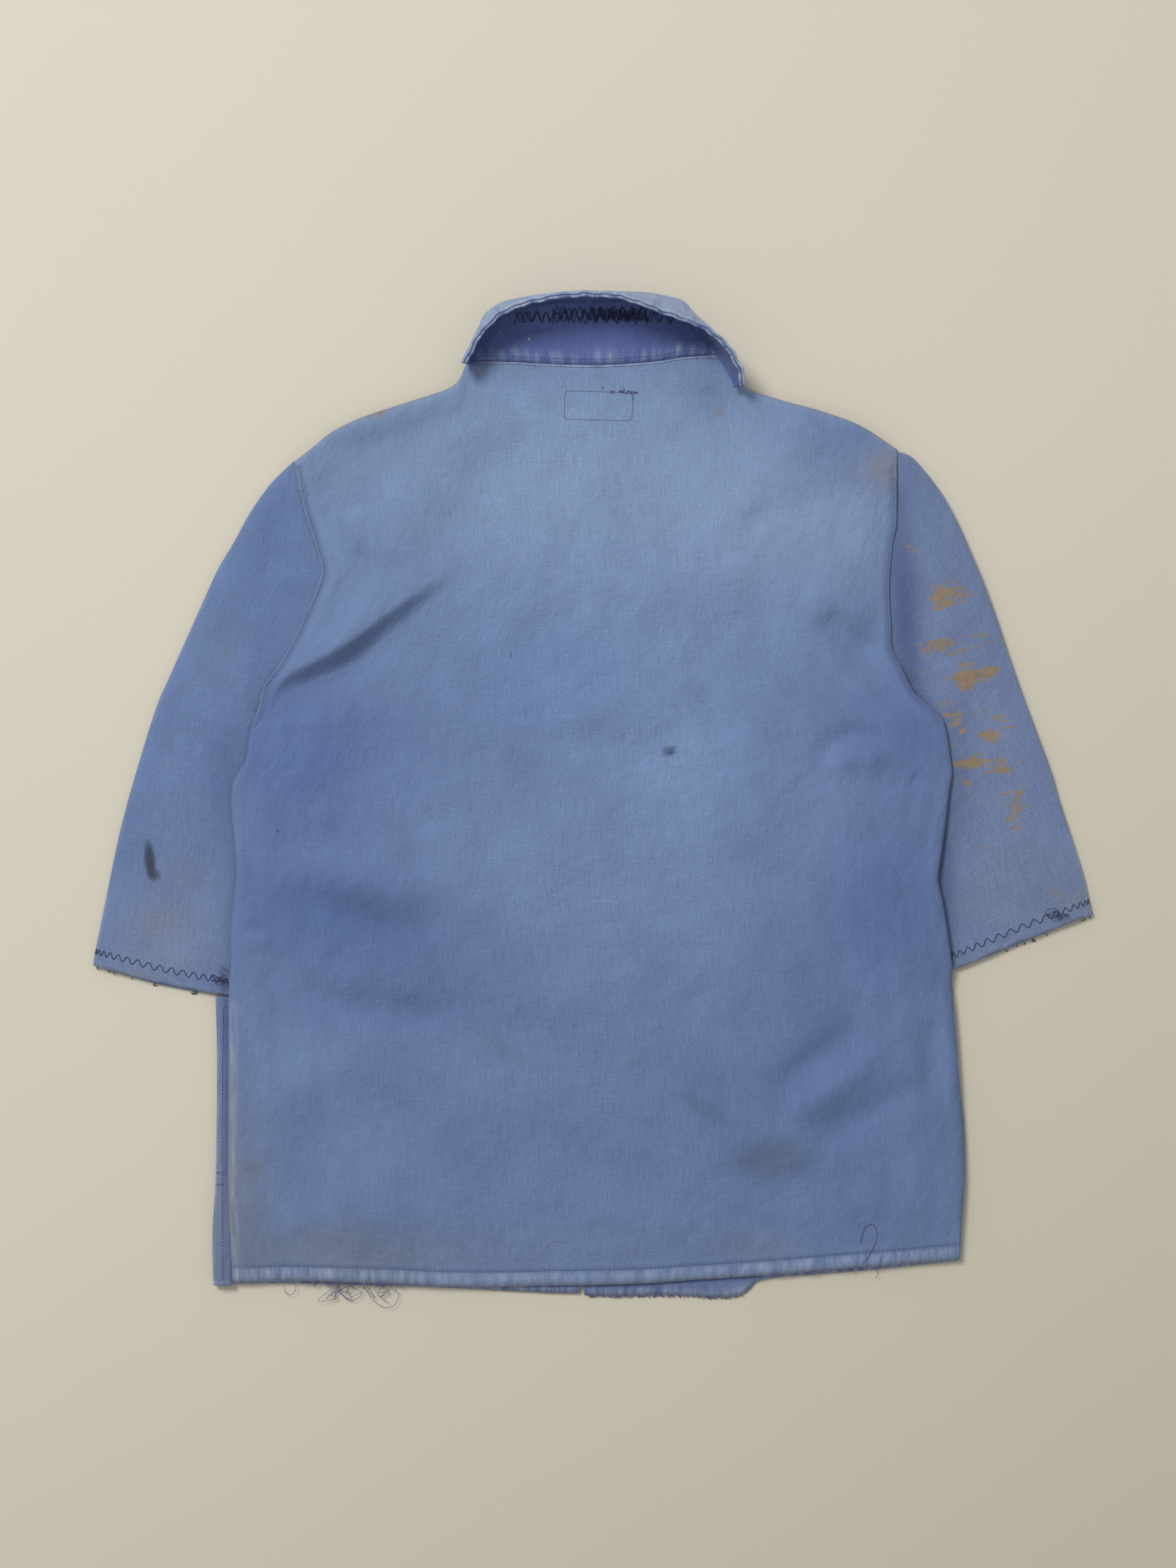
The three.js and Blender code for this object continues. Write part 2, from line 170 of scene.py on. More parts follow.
# Back: one piece of cotton twill, dyed blue and faded by the sun, lying over the fronts. It rounds down to the
# fronts at the sides, hem and shoulders, and its edges are turned in and stitched. Sizes are in millimetres.
CLOTH = 0.9
BACK_DYE = (106, 124, 160)
BACK_LEFT = [
    (-293.5, -400), (-293.8, -362), (-295.6, -313), (-295.2, -214), (-295, -153), (-293, -133), (-293, -109),
    (-291.4, -81.6), (-288.6, -58), (-289.8, -35), (-293, 1), (-290.2, 17.7), (-281.4, 32.7), (-277.6, 56),
    (-271, 75), (-267, 92), (-253, 111.2), (-240, 135.3), (-229, 159), (-221.6, 177), (-220, 188),
    (-228, 216.6), (-235.8, 242.6), (-242, 274),
]
BACK_RIGHT = [
    (297, -400), (298, -367), (299.5, -346), (300.6, -329), (301.7, -304), (300.6, -271), (297.7, -243),
    (295.5, -213), (292.6, -173), (290.8, -146), (289, -127), (286.2, -107), (282.7, -84.5), (279, -64.4),
    (281.8, -40.8), (285.5, -13.4), (288, 8.5), (290.2, 21.3), (289.2, 32.5), (286.4, 52.6), (283, 65.3),
    (273.4, 75.8), (260, 87), (249, 108), (241.8, 122), (240.6, 141), (239.5, 174.6), (241.8, 207.2),
    (245.2, 225), (245, 262.2), (246, 284),
]
BACK_TOP = [
    (-242, 274), (-226.8, 286), (-212, 298), (-193, 307.8), (-175.4, 314.3), (-149.7, 322.6), (-111.9, 336),
    (-99.6, 353), (-66, 353.4), (-39.6, 352), (-7, 351), (15.4, 351.4), (48, 353.6), (70, 357), (90, 358.6),
    (102, 357.6), (120, 336), (150.5, 324.6), (183, 315.7), (216, 303.4), (246, 284),
]
BACK_HEM = [
    (-300, -389.6), (-278, -390.2), (-244, -388.8), (-156, -391.6), (-123.5, -393.2), (-79, -393.6),
    (-35, -392.7), (-5, -392.2), (38.7, -391), (83, -388), (112.5, -386.2), (151.8, -383.3), (202, -379),
    (235, -376.6), (260, -374.3), (303, -371),
]
# Each fold is a line, its rise, and how far it spreads on the left and on the right of that line.
BACK_FOLDS = [
    ([(-284, 84), (-262, 96), (-238, 107), (-212, 119), (-194, 130), (-176, 143), (-150, 162), (-110, 192)],
     7.5, 26, 6.5),
    ([(-276, 76), (-232, 94), (-196, 113), (-150, 142)], -3.4, 7, 18),
    ([(-222, 280), (-170, 298), (-123, 313), (-87, 340)], -4.0, 12, 16),
    ([(-205, 292), (-150, 318), (-112, 332)], 2.2, 8, 9),
    ([(60, 338), (95, 326), (127, 317), (172, 308)], -3.6, 12, 12),
    ([(-193, 240), (-190, 196)], 1.8, 8, 5),
    ([(-207, 196), (-214, 170), (-220, 138)], 2.2, 7, 9),
    ([(-40, 310), (-96, 254), (-130, 200)], -3.2, 26, 24),
    ([(-120, 262), (-160, 214), (-176, 180)], 2.6, 24, 20),
    ([(-284, 57), (-244, 62), (-198, 67), (-160, 68)], 0.9, 2.4, 4),
    ([(-289, -104), (-262, -101)], -1.6, 4, 4),
    ([(-286, -116), (-255, -113)], 1.5, 6, 5),
    ([(-262, -70), (-215, -88), (-170, -104), (-130, -116)], -3.8, 15, 17),
    ([(-250, -48), (-190, -62), (-120, -84)], 2.6, 16, 18),
    ([(-250, -152), (-200, -164), (-150, -170), (-100, -182)], -3.2, 13, 15),
    ([(-270, -206), (-190, -212), (-90, -226)], 2.4, 24, 22),
    ([(176, 152), (206, 131), (238, 116)], -3.8, 11, 11),
    ([(170, 176), (206, 156), (236, 146)], 2.4, 13, 11),
    ([(176, 28), (192, 47), (208, 53), (224, 50), (246, 43)], -3.0, 10, 8),
    ([(186, 22), (210, 38), (240, 31)], 3.2, 8, 13),
    ([(256, 22), (270, 12)], -1.8, 7, 7),
    ([(150, 242), (121, 217)], -2.0, 11, 11),
    ([(70, -163), (97, -151)], -1.2, 5, 4),
    ([(222, -178), (176, -212), (136, -240)], -4.0, 15, 15),
    ([(236, -200), (190, -232), (150, -258)], 3.4, 13, 12),
    ([(268, -226), (218, -254), (172, -280)], -3.4, 13, 13),
    ([(273, -170), (275, -214), (270, -256)], -2.6, 9, 11),
    ([(-30, 60), (40, 20), (120, -10)], -1.8, 30, 34),
    ([(-70, 120), (0, 90), (90, 60)], 1.6, 30, 30),
    ([(-130, 20), (-60, -30), (0, -50)], 1.6, 32, 30),
    ([(20, -120), (90, -100), (160, -110)], 1.4, 26, 26),
    ([(-60, -300), (20, -286), (90, -300)], -1.6, 30, 30),
    ([(-200, -300), (-140, -318), (-80, -330)], 1.6, 26, 26),
    ([(-240, -340), (-220, -368), (-214, -392)], -1.4, 14, 14),
    ([(20, -350), (24, -392)], 1.5, 16, 16),
    ([(150, -330), (158, -386)], -1.3, 16, 16),
]
# Fades, soil, stains and painted shade: middle, reach both ways, turn, sharpness, strength and colour.
BACK_MARKS = [
    (10, 262, 190, 95, 0, 1.0, 0.9, (131, 150, 178)),
    (-165, 292, 80, 30, 20, 1.0, 0.6, (122, 140, 166)),
    (200, 250, 60, 60, 0, 1.0, 0.6, (120, 137, 163)),
    (30, 110, 100, 120, 0, 1.0, 0.55, (120, 139, 174)),
    (-80, 150, 60, 40, 30, 1.0, 0.35, (108, 127, 163)),
    (-245, 40, 46, 62, 10, 1.0, 0.75, (88, 104, 150)),
    (-180, 40, 90, 60, 0, 1.0, 0.4, (95, 113, 152)),
    (262, 70, 30, 60, 0, 1.0, 0.7, (96, 110, 156)),
    (255, -60, 50, 90, 0, 1.0, 0.5, (98, 112, 154)),
    # Painted shade: a dark patch along the fold valley below the left armhole.
    (-205, -92, 104, 50, -12, 1.0, 0.8, (80, 98, 142)),
    (235, -90, 60, 60, 20, 1.0, 0.7, (88, 105, 150)),
    (-225, 28, 70, 50, 0, 1.0, 0.5, (88, 105, 152)),
    (225, 56, 46, 40, 0, 1.0, 0.35, (92, 106, 152)),
    (-30, 96, 60, 40, 10, 1.0, 0.4, (104, 126, 172)),
    (200, 286, 56, 40, 30, 1.0, 0.8, (96, 114, 150)),
    (-172, 292, 60, 24, 22, 1.0, 0.5, (104, 120, 148)),
    (70, 10, 40, 80, 6, 1.0, 0.5, (126, 148, 184)),
    (150, 232, 80, 60, 0, 1.0, 0.5, (138, 156, 188)),
    (-60, -352, 120, 34, 0, 1.0, 0.6, (104, 122, 164)),
    (20, -262, 120, 60, 0, 1.0, 0.4, (100, 120, 164)),
    (206, -330, 70, 40, 0, 1.0, 0.4, (94, 110, 152)),
    (10, -70, 150, 70, -8, 1.0, 0.6, (114, 132, 167)),
    (-150, -168, 120, 34, -6, 1.0, 0.6, (90, 107, 147)),
    (-40, -210, 150, 40, 0, 1.0, 0.4, (106, 123, 158)),
    (-80, -280, 200, 60, 0, 1.0, 0.45, (98, 115, 151)),
    (190, -225, 100, 90, -30, 1.0, 0.6, (90, 107, 147)),
    (-80, -360, 240, 26, 0, 1.5, 0.45, (110, 122, 146)),
    (-286, -330, 26, 90, 0, 1.0, 0.6, (112, 116, 130)),
    (-292, -300, 6, 110, 0, 2.0, 0.5, (122, 118, 124)),
    (-200, -372, 80, 20, 0, 1.0, 0.45, (114, 116, 126)),
    (250, -330, 60, 40, 0, 1.0, 0.4, (104, 121, 157)),
    (143, -288, 33, 18, 4, 2.2, 0.75, (90, 104, 128)),
    (90, -248, 22, 8, -33, 2.0, 0.7, (90, 104, 130)),
    (-74, -199, 24, 7, -40, 1.5, 0.45, (98, 108, 128)),
    (33, -210, 14, 10, 0, 1.0, 0.3, (98, 108, 130)),
    (136, -362, 26, 12, 0, 1.0, 0.4, (114, 118, 130)),
    (-276, -296, 7, 7, 0, 1.0, 0.5, (104, 104, 114)),
    (-211, -351, 30, 12, 10, 1.0, 0.4, (108, 112, 124)),
    (62, 39.6, 5, 3.6, -15, 3.0, 0.95, (68, 78, 104)),
    (102, 313.6, 4, 2.4, 0, 2.0, 0.6, (130, 120, 110)),
    (-173, 313, 7, 3, 20, 2.0, 0.8, (126, 110, 96)),
    (236, 268, 20, 16, 0, 1.0, 0.35, (150, 130, 112)),
]


def smooth_line(points, count=240):
    """Evenly spaced points on a smooth line through the points given."""
    p = np.array(points, float)
    p = np.vstack([2 * p[0] - p[1], p, 2 * p[-1] - p[-2]])
    t = np.linspace(0, 1, 16, endpoint=False)[:, None]
    parts = [
        0.5 * (2 * b + (c - a) * t + (2 * a - 5 * b + 4 * c - d) * t**2 + (3 * b - a - 3 * c + d) * t**3)
        for a, b, c, d in zip(p[:-3], p[1:-2], p[2:-1], p[3:])
    ]
    fine = np.vstack([*parts, p[-2:-1]])
    steps = np.r_[0, np.cumsum(np.linalg.norm(np.diff(fine, axis=0), axis=1))]
    at = np.linspace(0, steps[-1], count)
    return np.stack([np.interp(at, steps, fine[:, i]) for i in range(fine.shape[1])], 1)


def along(line, share):
    """Where a share of an evenly spaced line's length lies."""
    at = np.linspace(0, 1, len(line))
    return [np.interp(share, at, line[:, i]) for i in range(line.shape[1])]


def across(line, y):
    """How far out a line is at height y."""
    return np.interp(y, line[:, 1], line[:, 0])


def up(line, x):
    """How high a line is at x."""
    return np.interp(x, line[:, 0], line[:, 1])


def ease(value):
    value = np.clip(value, 0, 1)
    return value * value * (3 - 2 * value)


def band(gap, middle, reach, power=2):
    """1 along the middle of a band, fading to 0 beyond its reach on both sides."""
    return np.exp(-(((gap - middle) / reach) ** power))


def beside(x, y, points):
    """Distance from a line, positive on its left, and the share of its length passed."""
    nearest = np.full(np.shape(x), 1e9)
    side, share, done = np.zeros_like(nearest), np.zeros_like(nearest), 0.0
    points = np.array(points, float)
    lengths = np.linalg.norm(np.diff(points, axis=0), axis=1)
    for (ax, ay), (bx, by), length in zip(points[:-1], points[1:], lengths):
        dx, dy = (bx - ax) / length, (by - ay) / length
        reached = np.clip((x - ax) * dx + (y - ay) * dy, 0, length)
        gap = np.hypot(x - ax - reached * dx, y - ay - reached * dy)
        near = gap < nearest
        nearest = np.where(near, gap, nearest)
        side = np.where(near, np.sign(dx * (y - ay) - dy * (x - ax)), side)
        share = np.where(near, (done + reached) / lengths.sum(), share)
        done += length
    return nearest * side, share


def folded(x, y, folds):
    """The rise of all the folds at each point. A fold fades out towards its ends."""
    rise = np.zeros(np.shape(x))
    for points, height, left, right in folds:
        gap, share = beside(x, y, points)
        fade = ease(share / 0.3) * ease((1 - share) / 0.3)
        rise += height * fade * band(gap, 0, np.where(gap > 0, left, right))
    return rise


def rounded(gap, reach):
    """A quarter circle: 0 at an edge and 1 from its reach inwards."""
    return np.sqrt(1 - (1 - np.clip(gap / reach, 0, 1)) ** 2)


def rumpled(x, y, seed, waves=22):
    """A gentle unevenness: crossing waves of many lengths, each bent by a longer one."""
    rng = np.random.default_rng(seed)
    rise = np.zeros(np.shape(x))
    for _ in range(waves):
        angle, length = rng.uniform(0.1, 3.0), rng.uniform(26, 120)
        phase, bend = rng.uniform(0, 6.3, 2)
        along = x * math.cos(angle) + y * math.sin(angle)
        aside = y * math.cos(angle) - x * math.sin(angle)
        swell = np.sin(aside / (length * 1.7) + bend)
        wave = np.sin(2 * np.pi * along / length + phase + 1.4 * swell)
        rise += 0.0038 * length * wave * (0.35 + 0.65 * np.clip(swell, 0, 1))
    return rise


back_left, back_right = smooth_line(BACK_LEFT), smooth_line(BACK_RIGHT)
back_top, back_hem = smooth_line(BACK_TOP, 400), smooth_line(BACK_HEM)
SLEEVE_SPAN = (-150, 70)


def back_height(x, y):
    left, right = x - across(back_left, y), across(back_right, y) - x
    below, above = y - up(back_hem, x), up(back_top, x) - y
    on_sleeve = ease((y - SLEEVE_SPAN[0]) / 20)
    left_edge = 9.2 + 2.4 * on_sleeve + 2.0 * ease((y - SLEEVE_SPAN[1]) / 40)
    right_edge = 4.5 + 7.1 * on_sleeve + 2.0 * ease((y - SLEEVE_SPAN[1]) / 40)
    near_neck = ease((125 - np.abs(x - 5)) / 20)
    top_edge = 11.0 + 7.4 * near_neck
    calm = ease(below / 30) * ease(np.minimum(left, right) / 16) * ease(above / 40)
    inside = 18.0 + (1.55 * folded(x, y, BACK_FOLDS) + 1.25 * rumpled(x, y, 12)) * calm
    z = left_edge + (inside - left_edge) * (0.55 * rounded(left, 9) + 0.45 * ease(left / 48))
    z = np.where(
        right < left,
        right_edge + (inside - right_edge) * (0.6 * rounded(right, 10) + 0.4 * ease(right / 48)),
        z,
    )
    z = 7.6 + (z - 7.6) * (0.3 * rounded(below, 5) + 0.7 * ease(below / 70))
    z = np.where(y > 200, top_edge + (z - top_edge) * (0.6 * rounded(above, 7) + 0.4 * ease(above / 30)), z)
    return z


def gathered(share, amount=0.08):
    """Shares of 0 to 1 that lie closer together near both ends."""
    return share - amount * np.sin(2 * np.pi * share)


SPLIT = 236.0
FOOT = -394.0
LOWER_SHARE, UPPER_SHARE = 0.85, 0.15


def rows_of(w, v, first, last, hem, ends, top):
    """Rows that run level from first to last up to the split, and above it turn to follow the top edge."""
    done = np.minimum(v / LOWER_SHARE, 1)
    level = FOOT + (SPLIT - FOOT) * done
    x = first(level) + (last(level) - first(level)) * w
    y = level + (up(hem, x) - FOOT) * (1 - done) ** 3
    rest = np.clip((v - LOWER_SHARE) / UPPER_SHARE, 0, 1)
    top_x = ends[0] + (ends[1] - ends[0]) * w
    return x + (top_x - x) * rest, y + (top(top_x) - y) * rest


def back_place(u, v):
    """Where a share of the width and of the length lies."""
    x, y = rows_of(
        gathered(u), v, lambda level: across(back_left, level), lambda level: across(back_right, level),
        back_hem, (BACK_TOP[0][0], BACK_TOP[-1][0]), lambda x: up(back_top, x))
    return x, y, back_height(x, y)


def cloth_grid(columns, rows, place):
    """A sheet of cloth: a grid laid by place(u, v), with its own weave coordinates in metres."""
    bm = bmesh.new()
    bmesh.ops.create_grid(bm, x_segments=columns, y_segments=rows, size=0.5)
    shares = np.array([(v.co.x + 0.5, v.co.y + 0.5) for v in bm.verts])
    spots = np.stack(place(shares[:, 0], shares[:, 1]), 1)
    middle = [np.stack(place(np.array([0.5, 0.5]), np.array(ends)), 1) for ends in ((0, 0.5), (0.5, 1))]
    length = sum(np.linalg.norm(m[1] - m[0]) for m in middle)
    turns = np.linspace(0, 1, 60)
    ring = np.stack(place(turns, np.full(60, 0.5)), 1)
    width = np.linalg.norm(np.diff(ring, axis=0), axis=1).sum()
    weave = bm.loops.layers.uv.new("weave")
    for vertex, spot in zip(bm.verts, spots):
        vertex.co = spot * MM
    for face in bm.faces:
        for loop in face.loops:
            u, v = shares[loop.vert.index]
            loop[weave].uv = (u * width * MM, v * length * MM)
    return bm


def piece(name, bm, material, thickness=0.0, offset=-1.0):
    """A smooth object at the origin. Its cloth is as thick as given, below the face that was laid."""
    mesh = bpy.data.meshes.new(name)
    bm.to_mesh(mesh)
    bm.free()
    mesh.shade_smooth()
    mesh.materials.append(material)
    obj = bpy.data.objects.new(name, mesh)
    bpy.context.scene.collection.objects.link(obj)
    if thickness:
        shell = obj.modifiers.new("thickness", "SOLIDIFY")
        shell.thickness = thickness * MM
        shell.offset = offset
    return obj


def spots_of(obj):
    """A piece's points, in millimetres."""
    found = np.zeros(len(obj.data.vertices) * 3, np.float32)
    obj.data.vertices.foreach_get("co", found)
    return found.reshape(-1, 3).astype(float) / MM


def level_of(obj, name, values):
    """Keeps one number for each point of a piece, which its material reads."""
    layer = obj.data.attributes.new(name, "FLOAT", "POINT")
    layer.data.foreach_set("value", np.asarray(values, np.float32))


def plain_levels(obj, **levels):
    """Wear, painted groove shade, pucker and spatter for a piece: none, where it isn't given."""
    for name in ("wear", "groove", "pucker", "spatter"):
        level_of(obj, name, levels.get(name, np.zeros(len(obj.data.vertices))))


def dye(obj, base, marks=(), above=-1.0):
    """Dyes a cloth: its base colour, then each mark over it, on the faces higher than above. Most marks are fades and
    stains, and a few are painted shade and painted light.
    """
    spots = spots_of(obj)
    colours = np.tile(np.array(linear(*base)), (len(spots), 1))
    for x, y, reach_x, reach_y, turn, sharpness, strength, colour in marks:
        angle = math.radians(turn)
        dx, dy = spots[:, 0] - x, spots[:, 1] - y
        out = (dx * math.cos(angle) + dy * math.sin(angle)) / reach_x
        aside = (dy * math.cos(angle) - dx * math.sin(angle)) / reach_y
        share = strength * np.exp(-((out**2 + aside**2) ** sharpness)) * ease((spots[:, 2] - above) / 1.5)
        colours += share[:, None] * (np.array(linear(*colour)) - colours)
    layer = obj.data.attributes.new("dye", "FLOAT_COLOR", "POINT")
    layer.data.foreach_set("color", colours.astype(np.float32).ravel())
    return obj


def attribute(tree, name, output="Fac"):
    return add(tree, "Attribute", {}, attribute_name=name).outputs[output]


def cloth_place(tree):
    return add(tree, "UVMap", {}, uv_map="weave").outputs[0]


def streaky(tree, place, scale, detail, roughness=0.5, turn=0.0):
    """Noise that is stretched and turned, so that it runs one way."""
    return noise(tree, stretched(tree, place, scale, turn), 1, detail, roughness)


def waves(tree, place, scale, distortion=0.0):
    values = {"Vector": place, "Scale": scale, "Distortion": distortion}
    return add(tree, "TexWave", values).outputs["Fac"]


def turned(tree, place, turn):
    return stretched(tree, place, (1, 1, 1), turn)


def bumped(tree, height, distance, strength, **below):
    """A relief, over the one below it where that is given as Normal."""
    return add(tree, "Bump", {"Height": height, "Distance": distance, "Strength": strength, **below}).outputs[0]


twill, tree, shader = finish_of("faded_twill", 0.92, Specular_IOR_Level=0.12, Sheen_Weight=0.12)
cloth_at = cloth_place(tree)
colour = attribute(tree, "dye", "Color")
blotches = around(tree, noise(tree, cloth_at, 13, 5, 0.62), 1.0, 0.20)
streaks = around(tree, streaky(tree, cloth_at, (42, 9, 1), 4, 0.6), 1.0, 0.12)
warp_yarns = around(tree, streaky(tree, cloth_at, (1100, 50, 1), 2), 1.0, 0.20)
weft_yarns = around(tree, streaky(tree, cloth_at, (46, 900, 1), 2), 1.0, 0.12)
grain = around(tree, noise(tree, cloth_at, 760, 2), 1.0, 0.26)
for pattern in (blotches, streaks, warp_yarns, weft_yarns, grain):
    colour = mix(tree, 1.0, colour, pattern, "MULTIPLY")
colour = mix(tree, 1.0, colour, (0.95, 1.0, 1.05, 1.0), "MULTIPLY")
puckers = streaky(tree, cloth_at, (150, 30, 1), 2, 0.6)
wear = calc(tree, "MULTIPLY", attribute(tree, "wear"), around(tree, puckers, 0.6, 1.9), True)
colour = mix(tree, wear, colour, linear(152, 166, 190))
# Painted shade: the groove level darkens the colour along seams, stitch rows and turned edges, as if their hollows lay
# in shade.
shade = calc(tree, "MULTIPLY", attribute(tree, "groove"), around(tree, puckers, 0.7, 0.4), True)
colour = mix(tree, shade, colour, linear(66, 78, 118))
spatter_noise = streaky(tree, cloth_at, (80, 170, 1), 8, 0.74, 0.35)
spatter_mask = calc(tree, "MULTIPLY", attribute(tree, "spatter"), 0.25)
drops = calc(tree, "SUBTRACT", calc(tree, "ADD", spatter_noise, spatter_mask), 0.65)
fine_drops = streaky(tree, cloth_at, (300, 520, 1), 5, 0.7, 0.35)
drops = calc(tree, "ADD", drops, calc(tree, "MULTIPLY", calc(tree, "SUBTRACT", fine_drops, 0.52), 0.45))
drops = calc(tree, "MULTIPLY", drops, 22, True)
drop_colour = mix(tree, noise(tree, cloth_at, 260, 3), linear(118, 100, 76), linear(160, 138, 100))
colour = mix(tree, calc(tree, "MULTIPLY", drops, 0.85), colour, drop_colour)
# Relief from fine to coarse: the twill's ribs, its grain, creases all over, and the puckers along the seams.
relief = bumped(tree, waves(tree, turned(tree, cloth_at, 1.0), 260, 0.6), 0.00012, 0.5)
relief = bumped(tree, grain, 0.0003, 0.6, Normal=relief)
relief = bumped(tree, streaky(tree, cloth_at, (52, 30, 1), 6, 0.6, 0.7), 0.0032, 0.8, Normal=relief)
rope = calc(tree, "MULTIPLY", puckers, attribute(tree, "pucker"))
wired(tree, shader, Base_Color=colour, Normal=bumped(tree, rope, 0.0022, 0.9, Normal=relief))

back = dye(piece("back_cloth", cloth_grid(172, 216, back_place), twill, CLOTH), BACK_DYE, BACK_MARKS)
x, y, _ = spots_of(back).T
HEM_STITCH = 13.0
NECK_MIDDLE, NECK_HALF = 4, 104
hem_gap, top_gap = y - up(back_hem, x), up(back_top, x) - y
left_gap = x - across(back_left, y)
side_gap = np.minimum(left_gap, across(back_right, y) - x)
from_neck = np.abs(x - NECK_MIDDLE)
armhole = band(side_gap, 1, 2.2) * (y > 60) * (y < 270)
plain_levels(
    back,
    wear=np.clip(
        0.5 * band(hem_gap, 0.5, 1.6) + 0.5 * band(hem_gap, 6, 6.4, 4)
        + 0.35 * (band(left_gap, 3, 5, 4) * (y < -160)) + 0.16 * armhole
        + 0.2 * (band(top_gap, 2, 3) * (y > 270) * (from_neck > NECK_HALF))
        + 0.8 * (band(top_gap, 0, 1.3) * (from_neck < NECK_HALF)), 0, 1),
    # Painted shade along the hem's stitch row and inside the armhole seams.
    groove=0.6 * band(hem_gap, HEM_STITCH, 1.5) + 0.55 * (band(side_gap, 4, 2.4) * (y > 60) * (y < 272)),
    pucker=np.clip(band(hem_gap, 7, 8) + armhole, 0, 1),
)
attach(back, "back")
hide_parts("back_panel")

# Sleeves: a tube of the same twill each, seamed to the armhole and cut short above the wrist, with the raw cuff
# caught by a zigzag in dark thread. They lie flat, with their inner sides tucked under the body.
SLEEVES = {
    "left": {
        "outer": [
            (-243, 275), (-260, 259), (-277, 236), (-291, 211), (-305, 187), (-318, 158.5), (-331, 129.6),
            (-345, 98.5), (-355, 75), (-371, 23.5), (-384, -24), (-395, -76), (-405, -126), (-406, -133.5),
        ],
        "inner": [
            (-236, 268), (-230, 244), (-221, 216), (-213, 189), (-215, 176), (-223, 158), (-234, 133),
            (-247, 110), (-262, 88), (-269, 66), (-275, 36), (-280, 0), (-284, -40), (-288, -90), (-291, -130),
            (-293, -159),
        ],
        "cuff_dip": [(0, 0), (0.3, -1.5), (0.55, -2.0), (0.8, -1.0), (1, 0)],
        "dye": (100, 118, 156),
        "marks": [
            (-262, 210, 34, 60, -20, 1.0, 0.4, (96, 114, 152)),
            (-315, 120, 36, 60, 24, 1.0, 0.45, (110, 128, 162)),
            (-338, -20, 40, 90, 10, 1.0, 0.4, (108, 125, 160)),
            (-350, -110, 60, 40, 0, 1.0, 0.75, (120, 131, 158)),
            (-370, -140, 60, 14, 12, 1.0, 0.5, (122, 130, 152)),
            (-330, -60, 30, 18, 0, 1.0, 0.35, (116, 120, 136)),
            (-352, -98, 22, 14, 20, 1.0, 0.35, (118, 118, 128)),
            (-300, 20, 14, 60, 0, 1.0, 0.5, (92, 108, 148)),
            (-262, 120, 16, 46, -24, 1.0, 0.5, (94, 111, 150)),
            (-296, 120, 6, 4, 0, 1.0, 0.4, (110, 106, 112)),
            (-359.5, -48, 4.6, 15, 4, 3.0, 0.9, (56, 60, 74)),
            (-356, -60, 5.5, 4.5, 0, 3.0, 0.8, (58, 62, 76)),
        ],
        "spatter": [(-352, -100, 30, 20, 0.25)],
    },
    "right": {
        "outer": [
            (244, 284), (258, 279), (271, 265), (283.5, 248), (294.4, 228), (305.4, 203.5), (316.4, 177.5),
            (327, 148.5), (338, 115.5), (349, 84.5), (360.5, 53.5), (371.7, 23), (378, 1), (389, -32),
            (398, -61), (403.5, -85), (406, -92),
        ],
        "inner": [
            (239, 276), (238, 244), (235, 216), (233, 189), (233, 158), (235, 133), (243, 106), (256, 84),
            (268, 66), (273, 36), (277, 0), (276, -40), (275, -65), (279, -90), (285, -120), (288, -139),
        ],
        "cuff_dip": [(0, 0), (0.25, 0.5), (0.5, 1.2), (0.75, 1.0), (1, 0)],
        "dye": (112, 126, 159),
        "marks": [
            (268, 230, 22, 50, 14, 1.0, 0.55, (104, 120, 152)),
            (322, 100, 40, 90, -20, 1.0, 0.4, (112, 126, 158)),
            # Painted shadow: this dark strip, like those at 284, -60 and 268, 60, stands for the shade that the back's
            # raised edge casts on the sleeve and its seam hollow.
            (252, 150, 13, 90, 4, 1.0, 0.85, (76, 90, 128)),
            (296, 20, 14, 90, 0, 1.0, 0.5, (98, 110, 142)),
            (350, -70, 60, 40, 0, 1.0, 0.5, (117, 126, 149)),
            (394, -80, 12, 12, 0, 1.0, 0.4, (124, 124, 134)),
            # Painted shadow of the back's edge on the sleeve, as above.
            (284, -60, 10, 70, 0, 1.0, 0.75, (80, 92, 128)),
            (268, 60, 11, 44, 16, 1.0, 0.75, (76, 88, 124)),
        ],
        "spatter": [
            (289, 168, 15, 8, 1.0), (282, 160, 14, 6, 0.7), (268, 204, 10, 4, 0.6), (256, 205, 6, 3, 0.6),
            (290, 219, 16, 3, 0.6), (280, 124, 16, 6, 0.85), (316, 131, 18, 5, 0.5), (302, 101, 11, 10, 1.0),
            (321, 105, 8, 6, 0.85), (294, 68, 9, 7, 0.65), (319, 53, 9, 5, 0.8), (338, 62, 10, 5, 0.6),
            (306, 30, 18, 5, 0.8), (332, 29, 6, 5, 0.75), (302, 12, 6, 6, 0.6), (345, 0, 8, 12, 0.6),
            (340, -18, 10, 8, 0.6), (343, -30, 7, 6, 0.6), (372, -30, 5, 4, 0.5), (386, -48, 4, 3, 0.8),
            (376, -73, 4, 5, 0.8), (316, -41, 5, 4, 0.5), (300, 88, 40, 80, 0.28), (332, 20, 30, 60, 0.26),
        ],
    },
}
